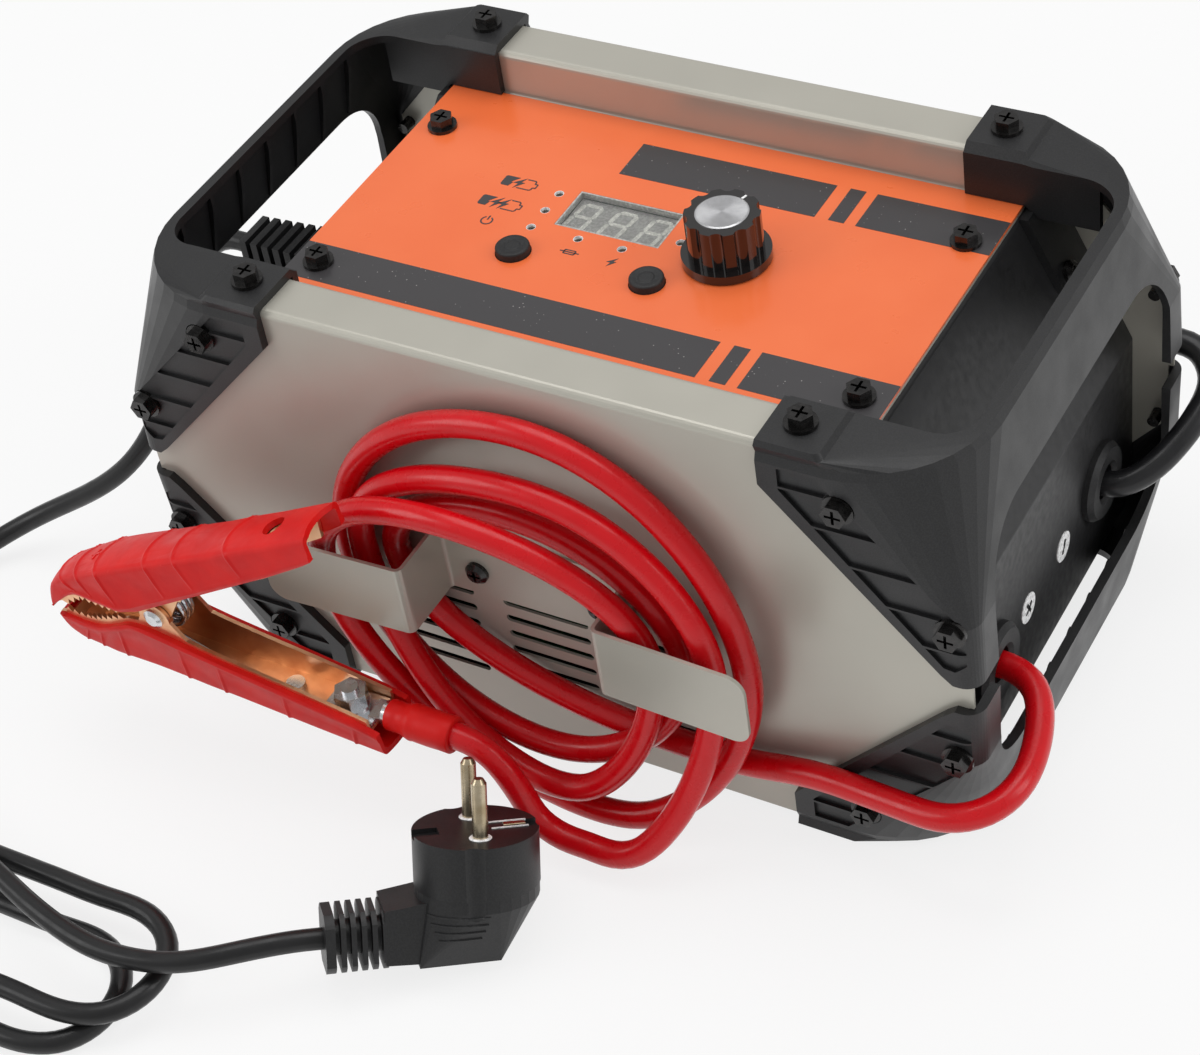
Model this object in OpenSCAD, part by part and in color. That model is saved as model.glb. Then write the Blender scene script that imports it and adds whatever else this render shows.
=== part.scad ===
// Car battery charger with booster function: a sheet-metal case in four moulded corner frames.
// Millimetres, +Z up. The origin is the middle of the footprint on the surface that it stands on.
// +X is the end with the two battery leads, -Y is the front with the red lead on its hooks.

/* [Case] */
// Length of the front and rear sheets
case_l = 292; // [286:2:304]
// Depth over the front and rear sheets
case_d = 163; // [159:1:171]
// Height of the metal case
case_h = 157; // [151:1:165]
// Thickness of the cover and base sheets
sheet_t = 1; // [0.8:0.1:1.2]
// Thickness of the end plates
end_t = 1.2; // [1:0.1:1.4]
// Width of the strips along the top edges
strip_w = 18; // [17:0.5:20]
// Depth of the recess that holds the control panel
recess_d = 16.5; // [15:0.5:18]
// Radius of the folds, measured on the middle of the sheet
fold_r = 1.6; // [1.2:0.1:2]
// Height of the turned-up flanges of the base plate
base_flange_h = 9; // [6:1:9]

/* [Vents] */
// Length of a vent slot
vent_l = 31; // [24:1:34]
// Width of a vent slot
vent_w = 2.8; // [2:0.2:3.6]
// Slots above each other
vent_rows = 6; // [4:1:6]
// Distance between rows
vent_pitch = 7; // [6:0.5:7]
// Distance between the three columns
vent_column_pitch = 42; // [38:1:44]
// Height of the lowest row above the case's bottom
vent_z = 23; // [20:1:24]

/* [Control panel] */
// Length of the panel
panel_l = 208; // [204:1:212]
// Thickness of the panel
panel_t = 1; // [0.8:0.1:1.4]
// Distance between panel screws along the panel
panel_screw_x = 189; // [180:1:192]
// Distance between panel screws across the panel
panel_screw_y = 77; // [70:1:90]
// Display window, length
window_l = 37.6; // [34:0.2:40]
// Display window, width
window_w = 18.4; // [16:0.2:20]
// Button cap diameter
button_d = 11.2; // [10:0.2:12]
// Button cap height above the panel
button_h = 2.8; // [2:0.2:4]
// Button travel
button_travel = 1; // [0.6:0.1:1.2]
// Lamp diameter
lamp_d = 3; // [2.6:0.1:3.6]

/* [Knob] */
// Skirt diameter
knob_skirt_d = 28.5; // [26:0.5:30]
// Skirt height
knob_skirt_h = 3; // [2:0.5:4]
// Grip diameter
knob_d = 24; // [21:0.5:25]
// Height over all
knob_h = 17; // [14:0.5:20]
// Flutes round the grip
knob_flutes = 10; // [8:1:14]
// Shaft diameter
knob_shaft_d = 6; // [5:0.5:6.4]

/* [Corner frames] */
// Wall of the frames over the case
frame_wall = 3; // [2.6:0.1:3.4]
// Length of a bracket along the panel side
bracket_l = 19.5; // [17:0.5:21]
// Height of the bracket's legs
leg_h = 73; // [70:1:74]
// Depth of the carrying bar
bar_h = 29; // [26:1:32]
// Width of a leg
leg_w = 15; // [14:0.5:17]
// Radius under the carrying bar
arch_r = 25; // [18:1:28]
// Radius in the corners of the hand hole
hand_hole_r = 12; // [8:1:14]
// Stiffening ribs behind the bar
bar_ribs = 7; // [5:1:7]
// Distance between the ribs
bar_rib_pitch = 16.5; // [14:0.5:17]
// Thickness of a rib
bar_rib_t = 1.5; // [1.2:0.1:2]

/* [Fasteners] */
// Thread diameter of every case screw
screw_d = 4; // [3.6:0.1:4]
// Flange diameter of a case screw
screw_flange_d = 10; // [9:0.5:10]

/* [Cable hooks] */
// Width of a hook's tab
hook_h = 27; // [22:1:30]
// Distance between the arms
hook_span = 68; // [64:1:70]
// Distance from the case to the tabs
hook_out = 25; // [24:0.5:26]
// Reach of a tab beyond its arm
hook_tab = 52; // [44:1:54]
// Spread of a tab's end
hook_spread = 2; // [1:0.5:3]
// Sheet of the hooks
hook_t = 1.2; // [1:0.1:1.6]
// Height of the tabs above the case's bottom
hook_z = 60; // [58:1:60]

/* [Leads] */
// Outside diameter of a battery lead
lead_d = 8.8; // [8.4:0.1:9]
// Outside diameter of the mains lead
mains_d = 7; // [6.6:0.1:7]
// Grommet flange diameter
grommet_d = 27.5; // [24:0.5:30]
// Diameter of the grommet's neck in the end plate
grommet_neck_d = 16; // [14:0.5:18]

/* [Battery clamps] */
// Width over the grips
clamp_w = 20; // [19.5:0.5:20.5]
// Wall of a grip
grip_wall = 2; // [1.8:0.1:2.2]
// Thickness of the copper jaws
jaw_t = 1.3; // [1.2:0.1:1.4]
// Rivet diameter
rivet_d = 5; // [4.5:0.5:5.5]
// Height of a tooth
tooth_h = 1.8; // [1.4:0.2:2]
// Wire of the clamp's spring
spring_wire = 2; // [1.8:0.1:2]
// Middle diameter of the clamp's spring
spring_d = 15.4; // [15:0.2:15.6]

/* [Inside] */
// Length of the main board
board_l = 180; // [160:5:190]
// Width of the main board
board_w = 110; // [90:5:120]
// Thickness of both boards
board_t = 1.6; // [1.2:0.2:2]
// Side of the fan
fan_side = 60; // [56:1:60]
// Depth of the fan
fan_depth = 15; // [12:1:16]
// Blades of the fan
fan_blades = 7; // [5:1:9]

/* [Mains plug] */
// Diameter of the plug's face
plug_d = 39; // [36:0.5:40]
// Pin diameter
pin_d = 4.8; // [4:0.2:5]
// Free length of the pins
pin_l = 19; // [17:0.5:20]
// Distance between the pins
pin_gap = 19; // [17:0.5:20]

/* [Hidden] */
$fn = 48;
hull_fn = 32;
eps = 0.01;
fit = 0.3;         // clearance between neighbouring pieces
slip = 0.05;       // radial clearance of a running fit
bore_d = screw_d + 0.3;

half_l = case_l / 2;
half_d = case_d / 2;
z_bottom = frame_wall;
z_top = z_bottom + case_h;
z_middle = z_bottom + case_h / 2;
rim_x = panel_l / 2;                 // where the strips end and the end plates slope down
floor_z = z_top - recess_d;          // top of the recessed floor
panel_z = floor_z + panel_t;         // top of the panel
recess_y = half_d - strip_w;         // inner walls of the recess
panel_half_w = recess_y - fit;

// ---- helpers ----

function unit(v) = v / norm(v);
function left_of(v) = [-v[1], v[0]];
function spun(v, a) = [v[0] * cos(a) - v[1] * sin(a), v[0] * sin(a) + v[1] * cos(a)];

// Points of an arc that rounds corner b of the path a, b, c with radius r
function corner(a, b, c, r, n) =
  let (u = unit(a - b), w = unit(c - b), half = acos(u * w) / 2, out = r / tan(half),
       middle = b + unit(u + w) * r / sin(half), from = b + u * out - middle,
       turn = sign(cross(b - a, c - b)) * (180 - 2 * half))
  [for (k = [0 : n]) middle + spun(from, turn * k / n)];

function rounded(p, r, n = 4) =
  [p[0], for (i = [1 : len(p) - 2]) each corner(p[i - 1], p[i], p[i + 1], r, n), p[len(p) - 1]];

// The path moved sideways by d, with true thickness at its bends
function beside(p, d) =
  [for (i = [0 : len(p) - 1])
    let (u = unit(p[min(i + 1, len(p) - 1)] - p[min(i, len(p) - 2)]),
         w = unit(p[max(i, 1)] - p[max(i - 1, 0)]), m = unit(left_of(u) + left_of(w)))
    p[i] + m * d / (m * left_of(u))];

function reversed(p) = [for (i = [len(p) - 1 : -1 : 0]) p[i]];
function smooth(t) = t * t * (3 - 2 * t);

// A folded sheet, as the 2D section of its path
module folded(path, t, r = fold_r) {
  middle = rounded(path, r);
  polygon(concat(beside(middle, t / 2), reversed(beside(middle, -t / 2))));
}

// 2D x and y become y and z, extruded along x
module along_x(l) { rotate([90, 0, 90]) linear_extrude(l, center = true) children(); }
// 2D x and y become x and z, extruded along y
module along_y(l) { rotate([90, 0, 0]) linear_extrude(l, center = true) children(); }

module both_x() { children(); mirror([1, 0, 0]) children(); }
module both_y() { children(); mirror([0, 1, 0]) children(); }
module four() { both_x() both_y() children(); }

// Ring directions carried along a path without twist
function tangents(p) =
  [for (i = [0 : len(p) - 1]) unit(p[min(i + 1, len(p) - 1)] - p[max(i - 1, 0)])];
function across(t) = unit(cross(t, abs(t[2]) < 0.9 ? [0, 0, 1] : [1, 0, 0]));
function carried(t) =
  [for (i = 0, n = across(t[0]); i < len(t);
        i = i + 1, n = i < len(t) ? unit(n - t[i] * (n * t[i])) : n) n];

// A round tube swept along the points p, as triangles
module tube(p, d, sides) {
  t = tangents(p);
  n = carried(t);
  points = [for (i = [0 : len(p) - 1]) for (k = [0 : sides - 1])
    p[i] + d / 2 * (n[i] * cos(360 * k / sides) + cross(t[i], n[i]) * sin(360 * k / sides))];
  last = (len(p) - 1) * sides;
  walls = [for (i = [0 : len(p) - 2]) for (k = [0 : sides - 1])
    let (a = i * sides + k, b = i * sides + (k + 1) % sides)
    each [[a, a + sides, b + sides], [a, b + sides, b]]];
  caps = [for (k = [1 : sides - 2]) each [[0, k, k + 1], [last, last + k + 1, last + k]]];
  polyhedron(points, concat(walls, caps));
}

// ---- fasteners ----

module cross_recess(d, depth) {
  for (a = [0, 90]) rotate([0, 0, a]) translate([-d / 2, -0.45, -depth]) cube([d, 0.9, depth + eps]);
}

hex_head_h = 3.2;
flange_h = 1.2;
hex_af = 7;

// Hexagon head with a flange, its seat at z = 0, its shank below
module hex_screw(shank_l) {
  difference() {
    union() {
      cylinder(d = screw_flange_d, h = flange_h);
      cylinder(d = hex_af / cos(30), h = flange_h + hex_head_h, $fn = 6);
      translate([0, 0, -shank_l]) cylinder(d = screw_d, h = shank_l + eps);
    }
    translate([0, 0, flange_h + hex_head_h]) cross_recess(5, 1.8);
  }
}

pan_head_d = 8;
pan_head_h = 2.6;

module pan_screw(shank_l) {
  difference() {
    union() {
      cylinder(d = pan_head_d, h = pan_head_h / 2);
      translate([0, 0, pan_head_h / 2])
        cylinder(d1 = pan_head_d, d2 = pan_head_d - 2.6, h = pan_head_h / 2);
      translate([0, 0, -shank_l]) cylinder(d = screw_d, h = shank_l + eps);
    }
    translate([0, 0, pan_head_h]) cross_recess(4.2, 1.6);
  }
}

// ---- case ----

slot_columns = [-1, 0, 1];

module slot(l, w) {
  square([l - w, w], center = true);
  for (s = [-1, 1]) translate([s * (l - w) / 2, 0]) circle(d = w, $fn = 24);
}

// Face screws of the frames: distance from the case's end and from its top or bottom
face_screws = [[37, 15], [5, 52]];
top_screw_x = rim_x - 10;
top_screw_y = recess_y + 9.5;

module at_face_screws() {
  both_x() both_y() for (s = face_screws) for (z = [z_top - s[1], z_bottom + s[1]])
    translate([half_l - s[0], -half_d, z]) rotate([90, 0, 0]) children();
}

module at_top_screws() { four() translate([top_screw_x, top_screw_y, z_top]) children(); }
module at_panel_screws() {
  four() translate([panel_screw_x / 2, panel_screw_y / 2, panel_z]) children();
}

hook_screw_x = 22;
hook_screw_l = 4;                    // ends in front of the fan
hook_screw_z = z_bottom + hook_z + 10;
module at_hook_screws() {
  four() translate([hook_screw_x, -half_d - hook_t, hook_screw_z]) rotate([90, 0, 0]) children();
}

// The wings of the front and rear sheets keep inside the rounded corners of the frames
bar_drop = 4.3;
cone_x = rim_x + 1.2;
wing_end = half_l - 1.8;
cone_z = 50;

function wing_half() = [
  [rim_x - 10, case_h / 2 - 4], [rim_x - fit, case_h / 2 - 3], [cone_x, case_h / 2 - bar_drop - 0.6],
  [wing_end, case_h / 2 - cone_z], [wing_end, case_h / 2 - leg_h - fit],
  [half_l, case_h / 2 - leg_h - fit]];

module wing_outline() {
  top = wing_half();
  polygon(concat(top, [for (p = reversed(top)) [p[0], -p[1]]]));
}

window_at = [-13.1, 13.2];
knob_at = [28.5, 7.1];
button_left_at = [-37.3, -12.6];
button_right_at = [10.6, -12.4];
lamps_at = [[-38.2, 18.7], [-38.2, 9.5], [-38.2, 0.3], [-20.7, -0.1], [-4.9, -0.1], [11.2, 9]];
bushing_d = knob_shaft_d + 1.6;

// Holes for all that comes up through the recessed floor or the panel
module panel_cuts(room) {
  translate(window_at) square([window_l + 2 * room, window_w + 2 * room], center = true);
  for (p = [button_left_at, button_right_at]) translate(p) circle(d = button_d + 0.6 + 2 * room);
  for (p = lamps_at) translate(p) circle(d = lamp_d + 0.2 + 2 * room, $fn = 24);
  translate(knob_at) circle(d = bushing_d + 0.2);
}

module cover_shell() {
  wall_y = half_d - sheet_t / 2;
  inner_y = recess_y + sheet_t / 2;
  top = z_top - sheet_t / 2;
  low = floor_z - sheet_t / 2;
  color([0.66, 0.65, 0.6]) difference() {
    union() {
      along_x(2 * (rim_x - fit)) folded([[-wall_y, z_bottom], [-wall_y, top], [-inner_y, top],
        [-inner_y, low], [inner_y, low], [inner_y, top], [wall_y, top], [wall_y, z_bottom]], sheet_t);
      both_x() both_y() translate([0, -wall_y, z_middle]) along_y(sheet_t) wing_outline();
    }
    for (c = slot_columns) for (r = [0 : vent_rows - 1])
      translate([c * vent_column_pitch, 0, z_bottom + vent_z + r * vent_pitch])
        along_y(case_d + 2) slot(vent_l, vent_w);
    translate([0, 0, floor_z - 2 * sheet_t]) linear_extrude(3 * sheet_t) panel_cuts(0.1);
    at_panel_screws() translate([0, 0, -5]) cylinder(d = bore_d, h = 10);
    at_top_screws() translate([0, 0, -5]) cylinder(d = bore_d, h = 10);
    at_face_screws() translate([0, 0, -5]) cylinder(d = bore_d, h = 10);
    at_hook_screws() translate([0, 0, -5]) cylinder(d = bore_d, h = 10);
  }
}

module base_plate() {
  y = half_d - sheet_t - sheet_t / 2;
  z = z_bottom + sheet_t / 2;
  color([0.6, 0.59, 0.55]) along_x(2 * (rim_x - fit))
    folded([[-y, z + base_flange_h], [-y, z], [y, z], [y, z + base_flange_h]], sheet_t);
}

// ---- end plates ----

plate_x = half_l - 14;            // outer face of the upright part
plate_bend_z = z_bottom + 81;     // where the slope meets the upright part
plate_low_z = z_bottom + 12;
plate_top_z = floor_z - sheet_t - end_t / 2;
plate_foot_z = z_bottom + sheet_t + end_t / 2;
slope_top = [rim_x - 0.1, plate_top_z];
slope_low = [plate_x - end_t / 2, plate_bend_z];
slope_out = left_of(unit(slope_low - slope_top));   // normal, away from the case
tuck = 7;

function on_slope(z) =
  slope_top[0] + (slope_top[1] - z) / (slope_top[1] - slope_low[1]) * (slope_low[0] - slope_top[0]);

module end_plate() {
  flat_y = half_d - sheet_t;
  difference() {
    along_y(2 * flat_y) folded([[rim_x - tuck, plate_top_z], slope_top, slope_low,
      [plate_x - end_t / 2, plate_low_z], [rim_x - 0.1, plate_foot_z], [rim_x - tuck, plate_foot_z]],
      end_t);
    // room for the flanges of the base and for the walls of the recess
    both_y() translate([0, flat_y - sheet_t - fit, 0]) cube([rim_x + 1, 10, z_bottom + 20]);
    both_y() translate([0, recess_y - fit, floor_z - 6]) cube([rim_x - fit + 0.2, 30, 20]);
    // lower corners, inside the rounded corners of the lower frames
    both_y() translate([rim_x + 30, 0, 0]) along_x(36)
      polygon([[flat_y + 1, z_bottom + 29], [flat_y - 1.8, z_bottom + 27], [flat_y - 9, z_bottom + 10],
        [flat_y - 15, z_bottom - 1], [flat_y + 1, z_bottom - 1]]);
    lug_places() translate([0, 0, -5]) cylinder(d = bore_d, h = 10);
  }
}

lug_z = z_top - 41;
lug_y = recess_y - 0.5;
slope_angle = atan2(slope_out[1], slope_out[0]);

// Frame of a screw on the slope: z along the slope's outward normal
module lug_places() {
  both_y() translate([on_slope(lug_z), lug_y, lug_z]) rotate([0, 90 - slope_angle, 0])
    translate([0, 0, end_t / 2]) children();
}

grommet_rear = [49, z_bottom + 46];
grommet_front = [-37, z_bottom + 44];
marker_minus = [19.5, z_bottom + 42.5];
marker_plus = [-9.5, z_bottom + 42];
relief_y = -8;
relief_z = z_bottom + 112;
relief_neck = 12;

module end_plate_right() {
  color([0.12, 0.12, 0.13]) difference() {
    end_plate();
    for (g = [grommet_rear, grommet_front]) translate([plate_x - 5, g[0], g[1]]) rotate([0, 90, 0])
      cylinder(d = grommet_neck_d + 0.1, h = 10);
  }
}

module end_plate_left() {
  color([0.12, 0.12, 0.13]) mirror([1, 0, 0]) difference() {
    end_plate();
    translate([on_slope(relief_z) - 10, relief_y - relief_neck / 2 - slip, relief_z - relief_neck / 2 - slip])
      cube([20, relief_neck + 2 * slip, relief_neck + 2 * slip]);
  }
}

// ---- corner frames ----

bracket_x = rim_x - bracket_l;
inner_flange_t = 2.5;
inner_flange_y = panel_half_w;
hand_hole_x = half_l - 8.7;

corner_steps = 9;

// A frame's plan at height z: two square corners at x0, two corners of radius r at x1
function plan(x0, x1, half_w, r, z) = concat([[x0, -half_w, z]],
  [for (k = [0 : corner_steps]) let (a = 90 * k / corner_steps - 90)
    [x1 - r + r * cos(a), r - half_w + r * sin(a), z]],
  [for (k = [0 : corner_steps]) let (a = 90 * k / corner_steps)
    [x1 - r + r * cos(a), half_w - r + r * sin(a), z]],
  [[x0, half_w, z]]);

// A solid through plans with the same number of points, from the lowest up
module stack(plans) {
  n = len(plans[0]);
  last = (len(plans) - 1) * n;
  walls = [for (i = [0 : len(plans) - 2]) for (k = [0 : n - 1])
    let (a = i * n + k, b = i * n + (k + 1) % n) each [[a, b + n, b], [a, a + n, b + n]]];
  ends = [for (k = [1 : n - 2]) each [[0, k, k + 1], [last, last + k + 1, last + k]]];
  polyhedron([for (p = plans) each p], concat(walls, ends));
}

module frame_outside() {
  out = half_d + frame_wall;
  stack([
    plan(bracket_x, half_l + 3, out, 6, -leg_h),
    plan(bracket_x, half_l + 2.5, out, 7, -cone_z),
    plan(bracket_x, half_l - 3.5, out, 38, -4),
    plan(bracket_x, half_l - 5, out - 1, 36, -1.3),
    plan(bracket_x, rim_x + 1.5, out, 2, frame_wall - 1.5),
    plan(bracket_x, rim_x, out - 1.2, 2, frame_wall)]);
}

module frame_inside() {
  stack([
    plan(-10, half_l, half_d, 1.5, -leg_h - 20),
    plan(-10, half_l, half_d, 1.5, -cone_z),
    plan(-10, half_l - 7.5, half_d, 33, -bar_drop),
    plan(-10, rim_x, half_d, 1.5, 0)]);
}

// Brackets and legs as seen from the front
module frame_side() {
  polygon([[bracket_x, 10], [bracket_x, -13], [half_l - 8.5, 3 - leg_h], [half_l - 5, -leg_h],
    [half_l + 6, -leg_h], [half_l + 6, 10]]);
}

module arch() {
  w = half_d + frame_wall - leg_w;
  translate([arch_r - w, -leg_h - 10]) square([2 * (w - arch_r), leg_h + 10 - bar_h]);
  translate([-w, -leg_h - 10]) square([2 * w, leg_h + 10 - bar_h - arch_r]);
  for (s = [-1, 1]) translate([s * (w - arch_r), -bar_h - arch_r]) circle(r = arch_r);
}

module hand_hole() {
  w = inner_flange_y - inner_flange_t;
  x = hand_hole_x - hand_hole_r;
  translate([0, -w]) square([x, 2 * w]);
  translate([0, hand_hole_r - w]) square([hand_hole_x, 2 * (w - hand_hole_r)]);
  for (s = [-1, 1]) translate([x, s * (w - hand_hole_r)]) circle(r = hand_hole_r);
}

// Sunk field on the face of a bracket
module bracket_field() {
  difference() {
    polygon([[bracket_x + 6.5, -5], [rim_x - 1.5, -5], [half_l - 0.5, -cone_z], [half_l - 0.5, 9 - leg_h],
      [half_l - 4, 6 - leg_h], [half_l - 7.5, 6.5 - leg_h], [bracket_x + 6.5, -13]]);
    for (k = [1 : 5]) translate([0, -12 * k]) square([2 * half_l, 0.8], center = true);
  }
}

field_depth = 1.2;

module frame_body() {
  difference() {
    intersection() {
      frame_outside();
      along_y(case_d + 40) frame_side();
    }
    frame_inside();
    translate([0, 0, -20]) linear_extrude(40) hand_hole();
    translate([half_l, 0, 0]) along_x(40) arch();
    both_y() translate([0, -half_d - frame_wall + field_depth - 5, 0]) along_y(10) bracket_field();
    both_y() translate([rim_x, 0, 0]) along_x(2 * (hand_hole_x - rim_x - hand_hole_r)) {
      w = inner_flange_y - inner_flange_t;
      polygon([[w - 0.2, -0.2], [w + frame_wall + 0.1, frame_wall + 0.1], [w - 0.2, frame_wall + 0.1]]);
    }
    both_y() for (s = face_screws) translate([half_l - s[0], -half_d, -s[1]]) rotate([90, 0, 0]) {
      translate([0, 0, -6]) cylinder(d = bore_d, h = 12);
      translate([0, 0, frame_wall - field_depth]) cylinder(d = screw_flange_d + 2 * fit, h = 8);
    }
  }
  for (k = [0 : bar_ribs - 1]) translate([0, (k - (bar_ribs - 1) / 2) * bar_rib_pitch, 0])
    along_y(bar_rib_t) polygon([[hand_hole_x, -3.4], [half_l - 6.5, -3.4], [half_l - 2.3, 1.5 - bar_h],
      [half_l - 4.4, 1.5 - bar_h], [half_l - 7.4, -15], [hand_hole_x, -8]]);
}

// Flange that stands on the panel's edge and carries the lugs on the end plate
module inner_flange() {
  lug_t = 3;
  both_y() translate([0, inner_flange_y - inner_flange_t / 2, 0]) along_y(inner_flange_t)
    polygon([[bracket_x, 0.5], [bracket_x, panel_z - z_top + fit], [rim_x + 0.6, panel_z - z_top + fit],
      [rim_x + 4, -19], [half_l - 17, -19], [half_l - 17, -2.8], [rim_x, 0.5]]);
  translate([0, 0, -z_top]) difference() {
    lug_places() linear_extrude(lug_t) {
      circle(d = 14);
      translate([-30, -7]) square([30, 14]);
    }
    lug_places() translate([0, 0, -5]) cylinder(d = bore_d, h = 20);
    translate([0, 0, floor_z]) cube([2 * rim_x + 1.2, 400, 60], center = true);
    translate([-1, -200, z_top - 19 + 2]) cube([300, 400, 60]);
  }
}

module upper_frame() {
  translate([0, 0, z_top]) difference() {
    union() {
      frame_body();
      inner_flange();
    }
    both_y() translate([top_screw_x, top_screw_y, -1]) cylinder(d = bore_d, h = 12);
  }
}

module lower_frame() { translate([0, 0, z_bottom]) mirror([0, 0, 1]) frame_body(); }

module upper_frame_right() { color([0.17, 0.17, 0.18]) upper_frame(); }
module upper_frame_left() { color([0.17, 0.17, 0.18]) mirror([1, 0, 0]) upper_frame(); }
module lower_frame_right() { color([0.17, 0.17, 0.18]) lower_frame(); }
module lower_frame_left() { color([0.17, 0.17, 0.18]) mirror([1, 0, 0]) lower_frame(); }

module frame_screws() {
  color([0.08, 0.08, 0.09]) {
    at_face_screws() translate([0, 0, frame_wall - field_depth]) hex_screw(8);
    at_top_screws() translate([0, 0, frame_wall]) hex_screw(8);
  }
}

module pan_screws() {
  color([0.08, 0.08, 0.09]) {
    at_hook_screws() pan_screw(hook_screw_l);
    both_x() lug_places() translate([0, 0, 3]) pan_screw(8);
  }
}

// ---- control panel ----

panel_y = recess_y - (fold_r - sheet_t / 2) - slip;   // clear of the folds beside the floor

module control_panel() {
  color([0.95, 0.45, 0.2]) difference() {
    translate([-rim_x + fit, -panel_y, floor_z])
      cube([2 * (rim_x - fit), 2 * panel_y, panel_t]);
    translate([0, 0, floor_z - 1]) linear_extrude(panel_t + 2) panel_cuts(0);
    at_panel_screws() translate([0, 0, -5]) cylinder(d = bore_d, h = 10);
  }
}

module panel_screws() { color([0.08, 0.08, 0.09]) at_panel_screws() hex_screw(6); }

board_top = floor_z - 10.5;
module_gap = 0.1;

module display_window() {
  color([0.6, 0.6, 0.58]) translate([window_at[0] - window_l / 2 + module_gap,
    window_at[1] - window_w / 2 + module_gap, floor_z - 1.5])
    cube([window_l - 2 * module_gap, window_w - 2 * module_gap, panel_t + 1.6]);
}

module display_module() {
  h = floor_z - 1.5 - board_top;
  color([0.85, 0.85, 0.83]) translate([window_at[0], window_at[1], board_top + h / 2]) difference() {
    cube([window_l - 0.4, window_w - 0.4, h], center = true);
    for (k = [-1, 0, 1]) translate([k * 12.4, 0, h / 2]) cube([10, 15, 0.8], center = true);
  }
}

module indicator_leds() {
  color([0.75, 0.72, 0.68]) for (p = lamps_at) translate([p[0], p[1], board_top]) {
    cylinder(d = lamp_d, h = panel_z - board_top, $fn = 24);
    translate([0, 0, panel_z - board_top]) cylinder(d1 = lamp_d, d2 = lamp_d - 1.4, h = 0.6, $fn = 24);
  }
}

control_board_l = 118;
control_board_w = 70;
control_board_x = -8;
spacer_d = 6;

module control_board() {
  color([0.1, 0.35, 0.18]) {
    difference() {
      translate([control_board_x - control_board_l / 2, -control_board_w / 2, board_top - board_t])
        cube([control_board_l, control_board_w, board_t]);
      translate([knob_at[0], knob_at[1], board_top - 5]) cylinder(d = bushing_d, h = 10);
    }
    for (sx = [-1, 1]) for (sy = [-1, 1])
      translate([control_board_x + sx * (control_board_l / 2 - 5), sy * (control_board_w / 2 - 5), board_top])
        cylinder(d = spacer_d, h = floor_z - sheet_t - board_top);
  }
}

tact_h = 3.5;
tact_stem_h = 1.5;

module tact_switches() {
  color([0.2, 0.2, 0.22]) for (p = [button_left_at, button_right_at])
    translate([p[0], p[1], board_top]) {
      translate([-3, -3, 0]) cube([6, 6, tact_h]);
      cylinder(d = 3.4, h = tact_h + tact_stem_h);
    }
}

module button(p) {
  collar_top = floor_z - sheet_t - 0.1;
  stem_z = board_top + tact_h + tact_stem_h + button_travel + 0.2;
  translate([p[0], p[1], 0]) {
    difference() {
      translate([0, 0, collar_top - eps])
        cylinder(d = button_d, h = panel_z + button_h - collar_top + eps);
      translate([0, 0, panel_z + button_h + 36]) sphere(r = 36.6, $fn = 96);
    }
    translate([0, 0, collar_top - 1.2]) cylinder(d = button_d + 3, h = 1.2);
    translate([0, 0, stem_z]) cylinder(d = 5, h = collar_top - stem_z);
  }
}

module button_left() { color([0.1, 0.1, 0.11]) button(button_left_at); }
module button_right() { color([0.1, 0.1, 0.11]) button(button_right_at); }

knob_z = panel_z + 0.5;
knob_bore_d = knob_shaft_d + 2 * slip;
cap_d = knob_d - 7;
nut_h = 2;

module at_knob() { translate([knob_at[0], knob_at[1], 0]) children(); }

module control_knob() {
  color([0.09, 0.09, 0.1]) at_knob() difference() {
    union() {
      translate([0, 0, knob_z]) cylinder(d = knob_skirt_d, h = knob_skirt_h);
      translate([0, 0, knob_z + knob_skirt_h]) difference() {
        cylinder(d = knob_d, h = knob_h - knob_skirt_h);
        for (k = [0 : knob_flutes - 1]) rotate([0, 0, 360 / knob_flutes * k])
          translate([knob_d / 2 + 1.3, 0, -1]) cylinder(d = 5.2, h = knob_h, $fn = 24);
      }
    }
    translate([0, 0, knob_z - 1]) cylinder(d = 15, h = nut_h + 3);
    translate([0, 0, knob_z - 1]) cylinder(d = knob_bore_d, h = knob_h - 3);
    translate([0, 0, knob_z + knob_h - 0.6]) cylinder(d = cap_d, h = 2);
  }
}

module knob_cap() {
  color([0.8, 0.8, 0.82]) at_knob() translate([0, 0, knob_z + knob_h - 0.6]) {
    cylinder(d = cap_d - 0.1, h = 0.8);
    translate([0, 0, 0.8]) cylinder(d1 = cap_d - 0.1, d2 = cap_d - 1.1, h = 0.3);
  }
}

pot_h = 7;
pot_floor = 2;

module knob_shaft() {
  color([0.7, 0.7, 0.72]) at_knob() translate([0, 0, board_top + pot_floor])
    cylinder(d = knob_shaft_d, h = knob_z + knob_h - 4.2 - board_top - pot_floor);
}

module potentiometer() {
  bore = knob_shaft_d + 2 * slip;
  color([0.35, 0.5, 0.35]) at_knob() difference() {
    union() {
      translate([-8, -8, board_top]) cube([16, 16, pot_h]);
      translate([0, 0, board_top]) cylinder(d = bushing_d, h = panel_z + nut_h + 0.5 - board_top);
      translate([0, 0, panel_z]) cylinder(d = 11, h = nut_h, $fn = 6);
    }
    translate([0, 0, board_top + pot_floor]) cylinder(d = bore, h = 40);
  }
}

// ---- cable hooks ----

hook_y = half_d + hook_t / 2;
hook_tab_y = half_d + hook_out - hook_t / 2;

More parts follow.
